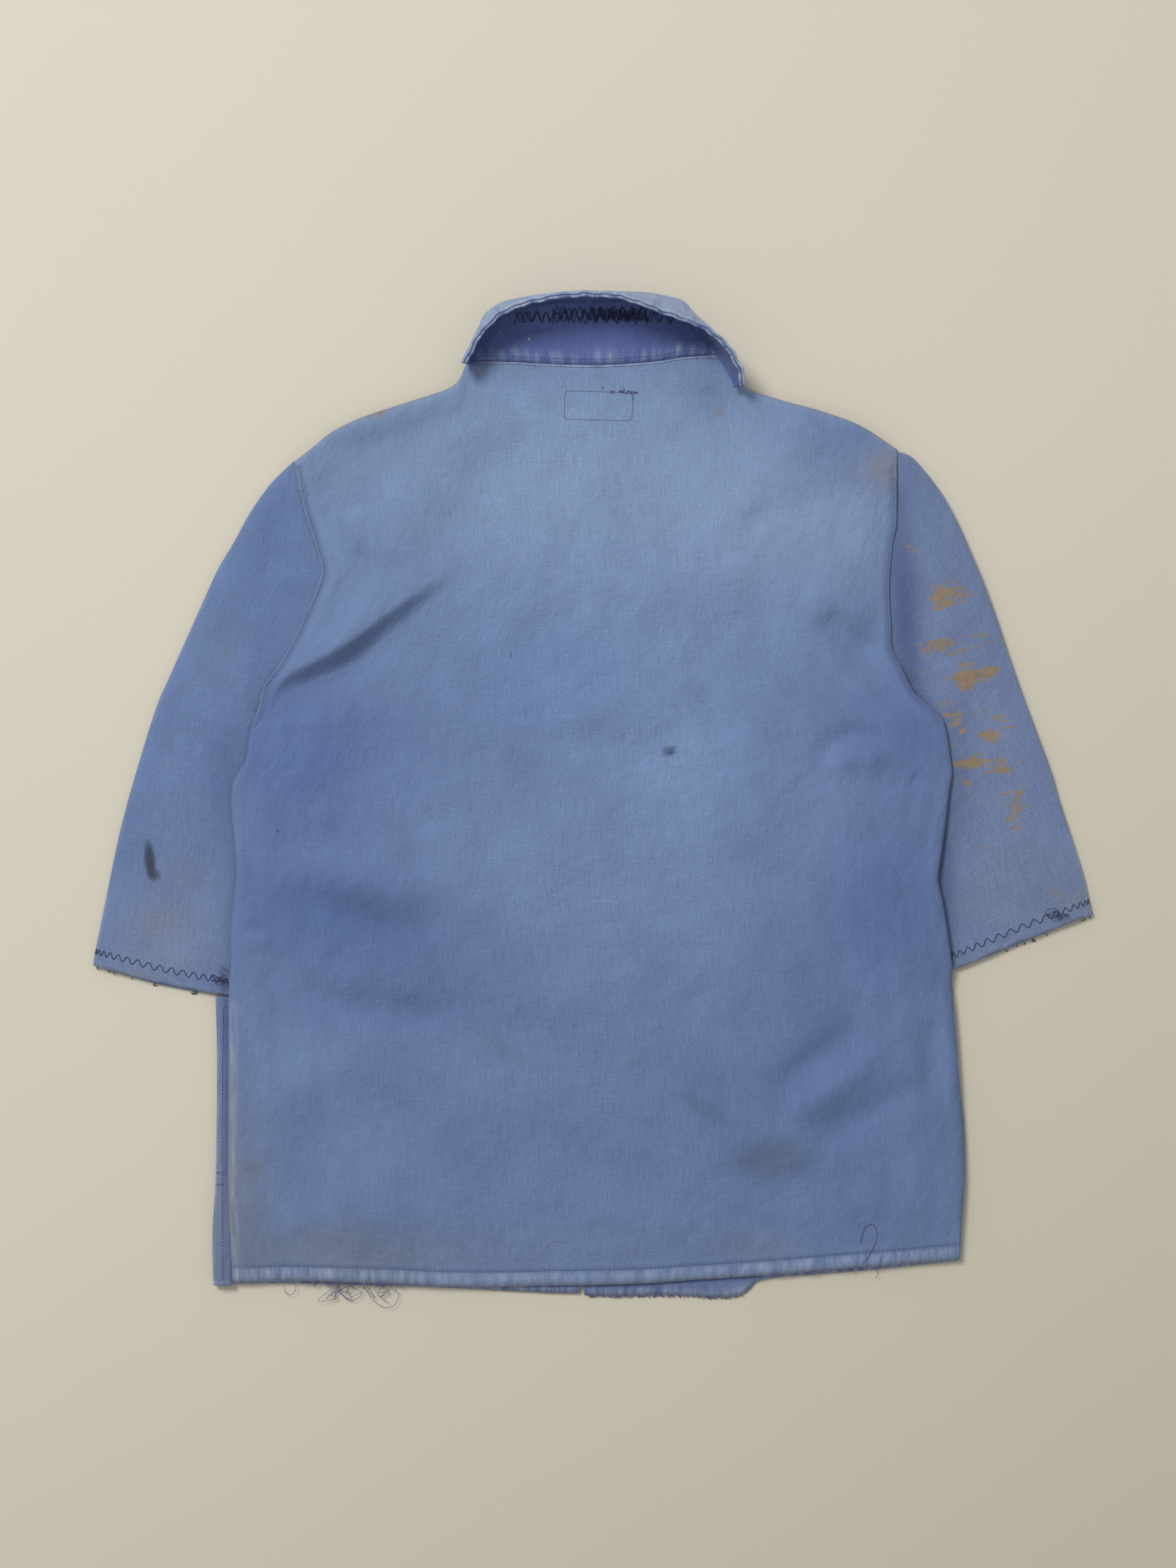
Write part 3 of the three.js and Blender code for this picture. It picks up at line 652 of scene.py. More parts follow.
SLEEVE_FOLDS = {
    "left": [
        ([(-252, 176), (-238, 162), (-230, 150)], -1.6, 8, 8),
        ([(-240, 250), (-258, 214), (-262, 170)], -1.8, 14, 12),
        ([(-266, 150), (-290, 90), (-300, 30)], 1.4, 14, 18),
        ([(-320, 70), (-296, 63), (-276, 60)], 0.8, 3, 5),
        ([(-345, 40), (-352, -20), (-350, -80)], 1.2, 22, 22),
        ([(-318, -10), (-322, -80), (-314, -130)], -1.0, 14, 14),
    ],
    "right": [
        ([(252, 262), (262, 230), (262, 190)], -1.8, 10, 12),
        ([(284, 210), (306, 150), (322, 90)], 1.2, 22, 22),
        ([(296, 40), (312, -20), (318, -80)], -1.2, 14, 16),
        ([(350, 30), (364, -20), (370, -70)], 1.2, 20, 22),
        ([(262, 130), (284, 118), (306, 112)], -0.9, 7, 7),
    ],
}


SEAM_TUCK = 9


def sleeve_place(side):
    """How a share round the sleeve and a share along it lie: over the top, round the outer fold and back."""
    outer, inner = smooth_line(SLEEVES[side]["outer"]), smooth_line(SLEEVES[side]["inner"])
    sign = -1 if side == "left" else 1
    dip = np.array(SLEEVES[side]["cuff_dip"])

    def place(u, v):
        down = 1 - v
        turn = 2 * np.pi * u
        over = (1 - np.cos(turn)) / 2
        seamed = 1 - ease((down - 0.36) / 0.12)
        under = u > 0.5
        (ix, iy), (ox, oy) = along(inner, down), along(outer, down)
        ix = ix + sign * SEAM_TUCK * seamed * under
        x, y = ix + (ox - ix) * over, iy + (oy - iy) * over
        y += np.interp(over, dip[:, 0], dip[:, 1]) * ease((down - 0.8) / 0.2)
        y -= 1.6 * under * np.sin(np.pi * over) * (down > 0.97)
        inner_z = np.where(under, 3.0, 3.0 + 10.4 * seamed)
        edge_z = inner_z + (3.4 - inner_z) * over
        puff = np.abs(np.sin(turn)) ** 0.5
        top = 12.6 - 3.4 * ease((down - 0.2) / 0.4) - 3.4 * ease((down - 0.6) / 0.4)
        top = top + folded(x, y, SLEEVE_FOLDS[side]) + 0.7 * rumpled(x, y, 5 if side == "left" else 8)
        z = edge_z + (np.where(under, 0.95, top) - edge_z) * puff
        return x, y, z

    return place


def strokes(line, pitch, length, lift=0.25):
    """Short stitches along a line laid on the cloth: each dips in at both its ends."""
    steps = np.r_[0, np.cumsum(np.linalg.norm(np.diff(line, axis=0), axis=1))]
    found = []
    for start in np.arange(0, steps[-1] - length, pitch):
        at = start + np.array([0, 0.5, 1]) * length
        spots = np.stack([np.interp(at, steps, line[:, i]) for i in range(3)], 1)
        spots[:, 2] += (-0.15, lift, -0.15)
        found.append(spots)
    return found


def threads(name, strands, radius, material):
    """Lengths of thread as one piece. Each strand is a list of points in millimetres."""
    curve = bpy.data.curves.new(name, "CURVE")
    curve.dimensions = "3D"
    curve.bevel_depth = radius * MM
    curve.bevel_resolution = 1
    curve.use_fill_caps = True
    for strand in strands:
        spline = curve.splines.new("POLY")
        spline.points.add(len(strand) - 1)
        spline.points.foreach_set("co", np.c_[np.array(strand) * MM, np.ones(len(strand))].ravel())
    drawn = bpy.data.objects.new(name + "_drawn", curve)
    bpy.context.scene.collection.objects.link(drawn)
    mesh = bpy.data.meshes.new_from_object(drawn.evaluated_get(bpy.context.evaluated_depsgraph_get()))
    bpy.data.objects.remove(drawn)
    mesh.name = name
    mesh.materials.clear()
    mesh.materials.append(material)
    mesh.shade_smooth()
    obj = bpy.data.objects.new(name, mesh)
    bpy.context.scene.collection.objects.link(obj)
    return obj


def thread_finish(name, colour, pale):
    """Spun cotton: a fine twist, and paler where it has rubbed."""
    material, tree, shader = finish_of(name, 0.85, Specular_IOR_Level=0.15)
    place = object_place(tree)
    rubbed = noise(tree, place, 300, 3)
    twist = waves(tree, turned(tree, place, 0.8), 900)
    wired(
        tree, shader, Base_Color=mix(tree, rubbed, linear(*colour), linear(*pale)),
        Normal=bumped(tree, twist, 0.0001, 0.6))
    return material


ink_thread = thread_finish("ink_thread", (30, 34, 52), (62, 68, 96))
blue_thread = thread_finish("blue_thread", (66, 80, 124), (96, 112, 150))
pale_thread = thread_finish("pale_thread", (150, 160, 186), (196, 200, 214))

# Each sleeve would fold over on the line from the shoulder to the armpit, taking the turn up between the two distances
# from that line. Here only the two ends of that turn are worked out and kept with the sleeve.
SHOULDER, ARMPIT_X, ARMPIT_Y = (244, 275.0), 297, {"left": -157, "right": -136}
FOLD_FROM, FOLD_TO, FOLD_Z = -12, 24, 0.01

sleeves = {}
for side, row in SLEEVES.items():
    sign = -1 if side == "left" else 1
    place = sleeve_place(side)
    sleeve = piece(f"sleeve_cloth_{side}", cloth_grid(116, 128, place), twill, CLOTH)
    bm = bmesh.new()
    bm.from_mesh(sleeve.data)
    bmesh.ops.remove_doubles(bm, verts=bm.verts, dist=0.00003)
    bmesh.ops.recalc_face_normals(bm, faces=bm.faces)
    bm.to_mesh(sleeve.data)
    bm.free()
    dye(sleeve, row["dye"], row["marks"], 2.0)
    x, y, z = spots_of(sleeve).T
    cuff_line = np.stack(place(np.linspace(0, 0.5, 60), np.zeros(60)), 1)
    cuff_gap = np.abs(beside(x, y, cuff_line[:, :2])[0])
    outer_line = np.stack(place(np.full(80, 0.5), np.linspace(1, 0, 80)), 1)
    fold_gap = np.abs(beside(x, y, outer_line[:, :2])[0])
    spatter = np.zeros(len(x))
    for sx, sy, rx, ry, strength in row["spatter"]:
        spatter += strength * np.exp(-(((x - sx) / rx) ** 2 + ((y - sy) / ry) ** 2))
    plain_levels(
        sleeve,
        wear=np.clip(0.75 * band(cuff_gap, 0, 2.5) + 0.3 * band(fold_gap, 0, 2), 0, 1),
        pucker=band(cuff_gap, 8, 7),
        spatter=np.clip(spatter, 0, 1.1) * (z > 2),
    )
    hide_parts(f"{side}_sleeve", f"{side}_sleeve_head")
    run = np.array([sign * (ARMPIT_X - SHOULDER[0]), ARMPIT_Y[side] - SHOULDER[1]])
    out = np.array([-run[1], run[0]]) / np.linalg.norm(run) * sign
    middle = np.array([sign * (ARMPIT_X + SHOULDER[0]) / 2, (SHOULDER[1] + ARMPIT_Y[side]) / 2])
    start, end = ((*((middle + reach * out) * MM), FOLD_Z) for reach in (FOLD_FROM, FOLD_TO))
    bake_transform(sleeve)
    sleeves[side] = {"cloth": sleeve, "place": place, "start": start, "end": end}

# Zigzag over each raw cuff, sewn by hand machine in dark thread through the upper and the lower cloth. At the
# right cuff's corner the thread has knotted up.
ZIGZAG_UP = 9.0
ZIGZAG_HEIGHT = 5.2
ZIGZAG_POINTS = 33
SLEEVE_LENGTH = 440
for side, row in SLEEVES.items():
    sign = -1 if side == "left" else 1
    place = sleeves[side]["place"]
    strands = []
    for first, last, lift in ((0.06, 0.485, 0.28), (0.515, 0.94, -0.28)):
        turns = np.linspace(first, last, ZIGZAG_POINTS)
        level = (ZIGZAG_UP + ZIGZAG_HEIGHT * (np.arange(ZIGZAG_POINTS) % 2)) / SLEEVE_LENGTH
        sewn = np.stack(place(turns, level), 1)
        sewn[:, 2] += lift + (0.1 if lift > 0 else -0.15)
        strands.append(smooth_line(sewn, 4 * ZIGZAG_POINTS))
    rng = np.random.default_rng(4 if sign < 0 else 9)
    knots = [(-302, -146)] if side == "left" else [(374, -93), (381, -92)]
    for kx, ky in knots:
        loop = rng.normal(0, 1, (9, 2)) * (4.2, 2.4) + (kx, ky)
        strands.append(smooth_line([(px, py, 8.6 + rng.uniform(0, 1.6)) for px, py in loop], 60))
    for _ in range(8):
        turn = rng.uniform(0.54, 0.84)
        root = np.ravel(place(np.array([turn]), np.array([0.0])))
        drift = rng.normal(0, 1.6, 2)
        strands.append(smooth_line(
            [root + (0, 0, 0.2), root + (drift[0], -1.6, 0.1), root + (drift[1], -rng.uniform(1.6, 3.2), -0.1)], 8))
    sewing = threads(f"cuff_zigzag_{side}", strands, 0.28, ink_thread)
    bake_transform(sewing)

# Fronts: two pieces of the same twill under the back, buttoned edge to edge, each with a lower neckline, a deep
# facing along its front edge and a hem of its own, which has begun to fray. They lie face down.
FRONT_TOP = [(0, 259), (60, 260), (88, 267), (100, 288), (110, 334)]
FRONT_SIDE = {
    "left": [
        (-292.6, -400), (-293.5, -200), (-293.5, -158), (-292, -140), (-285, -90), (-278, -30), (-270, 30),
        (-265, 70), (-245.5, 106), (-235, 132), (-225, 160), (-221, 189), (-224, 218), (-230, 244), (-240, 272),
    ],
    "right": [
        (296, -400), (299, -330), (300, -300), (295.5, -220), (291, -165), (284, -145), (281, -127),
        (278, -107), (273, -85), (269.5, -65), (272, -41), (275, -13), (273, 20), (264, 66), (245.5, 106),
        (235, 132), (225, 160), (221, 189), (225, 218), (231, 244), (242, 280),
    ],
}
FRONT_HEM = {
    "left": [(-300, -392), (-240, -391.5), (-150, -393.8), (-60, -398), (-34, -399.4), (-10, -399.8)],
    "right": [
        (-9, -401.4), (20, -402.4), (60, -401.6), (95, -403.2), (118, -402.2), (128, -396), (140, -388.6),
        (200, -383.2), (240, -379.6), (303, -373),
    ],
}
FRONT_EDGE = {"left": -11.2, "right": -7.8}
FRONT_FOLDS = [
    ([(-230, -390), (-222, -366), (-226, -330)], 1.4, 9, 9),
    ([(-60, -399), (-64, -370), (-58, -330)], 1.2, 10, 10),
    ([(44, -402), (48, -372), (42, -330)], 1.3, 9, 9),
    ([(86, -402), (82, -376), (88, -340)], -1.0, 8, 8),
    ([(230, -376), (226, -350), (232, -300)], 1.2, 12, 12),
]
FRONT_DYE = (92, 108, 152)


def front_lines(side):
    return smooth_line(FRONT_SIDE[side]), smooth_line(FRONT_HEM[side]), smooth_line(FRONT_TOP)


def front_height(side, x, y):
    out, hem, _ = front_lines(side)
    below = y - up(hem, x)
    aside = np.abs(across(out, y)) - np.abs(x)
    z = 7.9 + 0.3 * np.sin(x / 23) * np.sin(y / 31) + folded(x, y, FRONT_FOLDS)
    z = 2.2 + (z - 2.2) * (0.25 * rounded(below, 5) + 0.75 * ease(below / 55))
    return z + (8.3 - z) * (1 - ease(aside / 24)) * ease(below / 20)


def front_place(side):
    out, hem, top = front_lines(side)
    tip = FRONT_SIDE[side][-1]
    crown = np.vstack([top, [(abs(tip[0]), tip[1])]])

    def place(u, v):
        x, y = rows_of(
            gathered(u, 0.05), v, lambda level: FRONT_EDGE[side], lambda level: across(out, level), hem,
            (FRONT_EDGE[side], tip[0]), lambda x: np.interp(np.abs(x), crown[:, 0], crown[:, 1]))
        return x, y, front_height(side, x, y)

    return place


def swing(obj, side):
    """Bakes the piece's place into its points."""
    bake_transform(obj)


for side in ("left", "right"):
    sign = -1 if side == "left" else 1
    front = piece(f"front_cloth_{side}", cloth_grid(96, 190, front_place(side)), twill, CLOTH)
    dye(front, FRONT_DYE, [
        (sign * 60, -398, 140, 10, 0, 1.0, 0.6, (86, 99, 134)),
        (sign * 290, -200, 16, 220, 0, 1.0, 0.4, (108, 120, 150)),
        (100, -396, 40, 10, 0, 1.0, 0.35, (110, 122, 150)),
    ])
    x, y, _ = spots_of(front).T
    hem_gap = y - up(front_lines(side)[1], x)
    edge_gap = np.abs(x - FRONT_EDGE[side])
    plain_levels(
        front,
        wear=np.clip(0.3 * band(hem_gap, 0, 1.6) + 0.5 * band(hem_gap, 4, 6, 4) + 0.5 * band(edge_gap, 0, 2.2), 0, 1),
        # Painted shade along the hem's stitch row.
        groove=0.5 * band(hem_gap, 9, 2.2),
        pucker=band(hem_gap, 6, 7),
    )
    swing(front, side)
    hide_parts(f"{side}_front")

# Side wrap: below the left sleeve the front's cloth comes round past the side seam, folds under at its edge and
# shows as a narrow strip. The seam is felled, and the hip pocket's stitching runs across the strip.
WRAP_OUT = [(-306.2, -162), (-305.2, -214), (-306.2, -301), (-308.6, -343), (-309, -362), (-308.2, -392)]
WRAP_SECTION = [
    (0.0, 8.75), (0.25, 9.0), (0.55, 9.0), (0.8, 8.4), (0.95, 7.2), (1.0, 5.6), (0.95, 4.0), (0.8, 3.0),
    (0.5, 2.4), (0.2, 2.2),
]
wrap_out, wrap_section = smooth_line(WRAP_OUT[::-1]), smooth_line(WRAP_SECTION, 60)
WRAP_IN, WRAP_LOW, WRAP_HIGH = -292.6, -392.6, -158.5


def wrap_place(u, v):
    y = WRAP_LOW + (WRAP_HIGH - WRAP_LOW) * v
    share, z = along(wrap_section, u)
    return WRAP_IN + (across(wrap_out, y) - WRAP_IN) * share, y, z + 0.25 * np.sin(y / 9) * share


wrap = piece("side_wrap", cloth_grid(30, 110, wrap_place), twill, CLOTH, 1.0)
dye(wrap, (101, 115, 148), [
    (-302, -340, 14, 80, 0, 1.0, 0.5, (118, 124, 140)), (-300, -180, 12, 30, 0, 1.0, 0.5, (92, 105, 145)),
])
x, y, z = spots_of(wrap).T
plain_levels(
    wrap,
    wear=0.55 * band(x, across(wrap_out, y), 2.2) + 0.6 * band(y, -391, 2.5),
    # Painted shade along the felled seam.
    groove=0.7 * band(x, -297.6, 1.3) * (z > 6),
    pucker=band(x, -299, 4) * (z > 6),
)
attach(wrap, "back")
WRAP_Z = 9.25
wrap_seams = strokes(
    smooth_line([(-300.2, -388, WRAP_Z), (-300.4, -270, WRAP_Z), (-299.6, -166, WRAP_Z)]), 3.0, 2.1)
for level in (-301, -310.5):
    wrap_seams += strokes(np.array([(-299, level, WRAP_Z), (-306.5, level, WRAP_Z - 0.4)]), 2.4, 1.8)
wrap_stitches = threads("side_wrap_stitches", wrap_seams, 0.26, blue_thread)
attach(wrap_stitches, "back")

# Facings: a strip of twill sewn inside each front edge, behind the buttons and the buttonholes. It stiffens the
# edge, and one row of stitches holds it down.


def laid(points, height, lift, count):
    """A smooth line through places on a cloth, lying as far above its height(x, y) as given."""
    line = smooth_line([(px, py, 0.0) for px, py in points], count)
    line[:, 2] = height(line[:, 0], line[:, 1]) + lift
    return line


for side in ("left", "right"):
    sign = -1 if side == "left" else 1
    low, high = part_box(f"{side}_front_facing")
    (x0, y0, _), (x1, y1, _) = low / MM, high / MM

    def facing_place(u, v):
        x, y = x0 + (x1 - x0) * u, y0 + (y1 - y0) * v
        return x, y, front_height(side, x, y) + 1.5 + 0.25 * np.sin(y / 17) * np.sin(x / 9)

    facing = dye(piece(f"facing_{side}", cloth_grid(20, 150, facing_place), twill, CLOTH), (84, 98, 148))
    x, y, _ = spots_of(facing).T
    inner = x0 if side == "left" else x1
    plain_levels(facing, wear=0.4 * band(x, inner, 2), pucker=band(x, inner, 5))
    swing(facing, side)
    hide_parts(f"{side}_front_facing")
    row_x = inner - sign * 3
    sewn = laid([(row_x, y0 + 3), (row_x, y1 - 3)], lambda x, y, side=side: front_height(side, x, y), 1.55, 120)
    facing_stitches = threads(f"facing_stitches_{side}", strokes(sewn, 3.2, 2.2), 0.24, blue_thread)
    swing(facing_stitches, side)

# Patch pockets: a square of twill with rounded lower corners, turned in and stitched to the front round three
# sides, and hemmed across its mouth. Two sit at the hips and one on the chest.
POCKET_CORNER = 14


def pocket_level(rim):
    """How high a pocket's lower face is, as far from its rim as given."""
    return 6.2 - 4.7 * (0.35 * rounded(rim, 4) + 0.65 * ease(rim / 34))


POCKETS = {"left_hip_pocket": "left", "right_hip_pocket": "right", "left_chest_pocket": "left"}
for node, side in POCKETS.items():
    low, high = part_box(node)
    (x0, y0, _), (x1, y1, _) = low / MM, high / MM

    def pocket_place(u, v):
        w, rise = gathered(u, 0.1), gathered(v, 0.06)
        x, y = x0 + (x1 - x0) * w, y0 + (y1 - y0) * rise
        near = np.clip(1 - (y - y0) / POCKET_CORNER, 0, 1)
        inward = POCKET_CORNER * (1 - np.sqrt(1 - near**2)) * 0.5
        x = np.where(x < (x0 + x1) / 2, np.maximum(x, x0 + inward), np.minimum(x, x1 - inward))
        rim = np.minimum(np.minimum(x - x0, x1 - x) - inward * 0.2, y - y0)
        return x, y, pocket_level(rim) + 0.35 * np.sin(x / 19) * np.sin(y / 24) * ease(rim / 20)

    pocket = dye(piece(node + "_cloth", cloth_grid(48, 48, pocket_place), twill, CLOTH, 1.0), (100, 117, 156), [
        ((x0 + x1) / 2, y1, 60, 16, 0, 1.0, 0.5, (118, 133, 164)),
    ])
    x, y, _ = spots_of(pocket).T
    rim = np.minimum(np.minimum(x - x0, x1 - x), y - y0)
    mouth = y1 - y
    plain_levels(
        pocket,
        wear=np.clip(0.7 * band(rim, 0, 2) + 0.7 * band(mouth, 0, 2.2), 0, 1),
        # Painted shade along the stitch row inside the rim.
        groove=0.5 * band(rim, 6, 1.8),
        pucker=np.clip(band(rim, 0, 5) + band(mouth, 12, 10), 0, 1),
    )
    swing(pocket, side)
    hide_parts(node)

    def pocket_low(x, y):
        return pocket_level(np.minimum(np.minimum(x - x0, x1 - x), y - y0)) - CLOTH

    rows = [
        [(x0 + 3, y1 - 2), (x0 + 3, y0 + 20), (x0 + 6, y0 + 8), (x0 + 18, y0 + 3), (x1 - 18, y0 + 3),
         (x1 - 6, y0 + 8), (x1 - 3, y0 + 20), (x1 - 3, y1 - 2)],
        [(x0 + 3, y1 - 22), ((x0 + x1) / 2, y1 - 22), (x1 - 3, y1 - 22)],
    ]
    pocket_runs = [stroke for row in rows for stroke in strokes(laid(row, pocket_low, -0.25, 160), 3.2, 2.3, -0.1)]
    pocket_stitches = threads(node + "_stitches", pocket_runs, 0.24, pale_thread)
    swing(pocket_stitches, side)

# Buttons: five pressed casein buttons with a raised rim and four holes, each sewn on through a short thread shank.
# The left front has a worked buttonhole for each.
button_finish, tree, shader = finish_of("dark_casein", 0.34, Specular_IOR_Level=0.45, Coat_Weight=0.15)
place = object_place(tree)
swirl = streaky(tree, place, (160, 90, 200), 4, 0.6, 0.4)
scuffs = noise(tree, place, 900, 2)
wired(
    tree, shader, Base_Color=mix(tree, swirl, linear(28, 34, 58), linear(64, 72, 104)),
    Roughness=around(tree, scuffs, 0.38, 0.12), Normal=bumped(tree, scuffs, 0.0001, 0.4))

BUTTONS = range(1, 6)
SHANK_TURNS, SHANK_RADIUS = 9, 1.9
# The thread between two holes, seen from the side: how far out, and how high.
BAR = [(-2.3, 1.2), (-2.2, 0.42), (0, 0.42), (2.2, 0.42), (2.3, 1.2)]
for number in BUTTONS:
    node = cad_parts[f"button_{number}"]
    low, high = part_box(node.name)
    middle = (low + high) / 2 / MM
    bm = bmesh.new()
    bm.from_mesh(node.data)
    bmesh.ops.remove_doubles(bm, verts=bm.verts, dist=0.00001)
    bmesh.ops.dissolve_limit(bm, angle_limit=0.02, verts=bm.verts, edges=bm.edges)
    button = piece(f"sewn_button_{number}", bm, button_finish)
    edge = button.modifiers.new("rounded", "BEVEL")
    edge.width, edge.segments, edge.limit_method = 0.0006, 3, "ANGLE"
    swing(button, "right")
    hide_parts(node.name)
    wraps = []
    for turn in range(SHANK_TURNS):
        wraps.append([
            (middle.x + SHANK_RADIUS * math.cos(turn * 2.4 + t), middle.y + SHANK_RADIUS * math.sin(turn * 2.4 + t),
             3.4 + 0.32 * turn + 0.05 * t) for t in np.linspace(0, 6.2, 14)
        ])
    for slope in (1, -1):
        wraps.append([(middle.x + slope * reach, middle.y + reach, level) for reach, level in BAR])
    shank = threads(f"button_shank_{number}", wraps, 0.4, ink_thread)
    swing(shank, "right")
    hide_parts(f"button_thread_{number}")

BUTTONHOLE_X = (-41.7, -20.7)
worked = []
for number in BUTTONS:
    low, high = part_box(f"button_{number}")
    level = (low.y + high.y) / 2 / MM
    for x in np.arange(BUTTONHOLE_X[0], BUTTONHOLE_X[1], 0.8):
        base = float(front_height("left", np.array([x]), np.array([level]))[0]) - CLOTH - 0.3
        worked += [[(x, level + s * 0.8, base), (x + 0.2, level + s * 2.6, base - 0.1)] for s in (-1, 1)]
buttonholes = threads("worked_buttonholes", worked, 0.3, blue_thread)
swing(buttonholes, "left")

# Collar points: the two ends of the collar, folded flat under each front, top collar down and under collar up.
# They are guessed, since the photo doesn't show them.
for side in ("left", "right"):
    sign = -1 if side == "left" else 1
    for layer, colour, lift in (("top", (116, 132, 164), 0.35), ("under", (72, 82, 132), -0.1)):
        node = f"{side}_collar_point_{layer}"
        low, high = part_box(node)
        inner = [(sign * 30 + FRONT_EDGE[side], 257), (sign * 86, 262), (sign * 100, 288), (sign * 114, 331)]
        outer = [
            (sign * 42 + FRONT_EDGE[side], 231), (sign * 96 + FRONT_EDGE[side], 229), (sign * 120, 262),
            (sign * 154, 315),
        ]
        inner_line, outer_line = smooth_line(inner, 80), smooth_line(outer, 80)
        height = low.z / MM + 1.0

        def point_place(u, v):
            (ax, ay), (bx, by) = along(inner_line, v), along(outer_line, v)
            return ax + (bx - ax) * u, ay + (by - ay) * u, height + lift * np.sin(np.pi * u) * np.sin(np.pi * v)

        bm = cloth_grid(30, 46, point_place)
        bmesh.ops.recalc_face_normals(bm, faces=bm.faces)
        point = dye(piece(node + "_cloth", bm, twill, CLOTH, 0.0), colour)
        x, y, _ = spots_of(point).T
        rim = np.abs(beside(x, y, outer_line)[0])
        # The groove level is painted shade along the stitch row inside the rim.
        plain_levels(
            point, wear=0.8 * band(rim, 0, 2.5), groove=0.5 * band(rim, 6, 1.6), pucker=band(rim, 4, 5))
        swing(point, side)
        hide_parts(node)

# Collar stand: a band of the same twill from the neck seam to the roll line, less faded than the rest, because the
# leaf used to cover it. Canvas stiffens it, and a second face lies below. It tucks under the back's turned edge.
NECK_SEAM = [
    (-103, 352.5), (-99.6, 353), (-66, 353.4), (-39.6, 352), (-7, 351), (15.4, 351.4), (48, 353.6), (70, 357),
    (90, 358.6), (102, 357.6), (110, 349), (119, 337.5),
]
ROLL_LINE = [
    (-102, 353), (-96, 366), (-89, 380), (-83, 388), (-73, 395.4), (-62, 398.6), (-49, 401), (-20, 403.2),
    (0, 403.8), (28.9, 404.2), (44.8, 403.4), (60, 400.4), (68.8, 397.4), (75, 391.4), (80.6, 385.4), (86, 380.4),
    (89, 374), (92, 370.6), (97, 366.5), (105, 358.4), (112, 350.6), (119, 339.5),
]
neck_seam, roll_line = smooth_line(NECK_SEAM, 200), smooth_line(ROLL_LINE, 300)


def stand_height(x, y):
    rise = y - up(neck_seam, x)
    return 17.4 + 2.2 * ease((rise + 1) / 7) + 0.5 * np.sin(x / 21 + 1) * ease(rise / 16) * ease((44 - rise) / 16)


def stand_place(drop, inset):
    def place(u, v):
        low, high = along(neck_seam, u), along(roll_line, u)
        x = low[0] + (high[0] - low[0]) * v
        y = low[1] - 3.2 * (1 - v) + (high[1] - low[1]) * v * (1 - inset)
        return x, y, stand_height(x, y) - 1.3 * ease((3 - (y - up(neck_seam, x))) / 5) - drop

    return place


stand_layers = {
    "under": (stand_place(0.0, 0.0), twill, "under_collar", (84, 97, 148)),
    "interlining": (stand_place(1.3, 0.06), None, "interlining", None),
    "inner": (stand_place(2.6, 0.0), twill, "twill", (122, 138, 168)),
}
canvas, tree, shader = finish_of("collar_canvas", 0.95, Specular_IOR_Level=0.1)
cloth_at = cloth_place(tree)
checks = calc(
    tree, "MULTIPLY", waves(tree, cloth_at, 320, 1.5), waves(tree, turned(tree, cloth_at, 1.571), 320, 1.5))
flecks = around(tree, noise(tree, cloth_at, 260, 4, 0.6), 0.8, 0.4)
wired(
    tree, shader, Normal=bumped(tree, checks, 0.0003, 0.8),
    Base_Color=mix(tree, calc(tree, "MULTIPLY", checks, flecks), linear(176, 166, 142), linear(214, 206, 186)))

STAND_MARKS = [
    (0, 360, 150, 7, 0, 1.0, 0.4, (98, 112, 158)),
    (8, 362, 11, 7, 0, 1.5, 0.5, (112, 126, 162)),
    # Painted light: the stand's upper part is lightened to make up for the shadow that the leaf casts on it.
    (0, 396, 96, 24, 0, 1.0, 0.8, (112, 124, 178)),
    (0, 366, 100, 12, 0, 1.0, 0.5, (78, 90, 140)),
    (-80, 372, 20, 26, 40, 1.0, 0.35, (98, 112, 156)),
]
for layer, (place, material, slot, colour) in stand_layers.items():
    cloth = piece(f"stand_{layer}", cloth_grid(170, 34, place), material or canvas, CLOTH if material else 0.7)
    if material:
        x, y, _ = spots_of(cloth).T
        rise = y - up(neck_seam, x)
        ends = np.minimum(x + 103, 100 - x)
        dye(cloth, colour, STAND_MARKS if layer == "under" else [])
        plain_levels(
            cloth,
            wear=0.62 * band(rise, 5, 6) * (0.45 + 0.55 * np.sin(x / 1.9) * np.sin(x / 7.3 + 1))
            + 0.3 * ease((8 - ends) / 8),
            # Painted shade along the neck seam.
            groove=0.6 * band(rise, 0.5, 1.2),
            pucker=band(rise, 5, 8),
        )
    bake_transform(cloth)
    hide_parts(f"collar_stand_{layer}")

# Neck seam: the back's turned edge, raised into a thin cord by washing, with one row of stitches just below it.
# A second row runs across the stand above it, and bits of pale lint cling to the stand.
plum_thread = thread_finish("plum_thread", (66, 62, 104), (104, 98, 146))


def on_back(points, lift, count):
    return laid(points, back_height, lift, count)


def on_stand(points, lift, count):
    return laid(points, stand_height, lift, count)


seam_run = [(x, y - 1.9) for x, y in NECK_SEAM[1:-2]]
neck_stitches = threads("neck_seam_stitches", strokes(on_back(seam_run, 0.15, 400), 2.6, 1.9), 0.24, plum_thread)
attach(neck_stitches, "back")
row = on_stand([(x, y + 4.6) for x, y in NECK_SEAM[1:-2]], 0.1, 400)
stand_row = threads("stand_stitches", strokes(row, 3.0, 2.0), 0.2, blue_thread)
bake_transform(stand_row)
nubs = [[(-75.7, 379.4), (-75.2, 377.8), (-75.6, 376.2)], [(-52.4, 373.4), (-51.6, 371.6), (-51.2, 369.6)],
        [(-51.6, 373.0), (-51.8, 371.4), (-50.9, 370.2)], [(-66.5, 363.6), (-66.2, 362)]]
lint = threads("stand_lint", [on_stand(points, 0.3, 10) for points in nubs], 0.3, pale_thread)
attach(lint, "collar_stand")

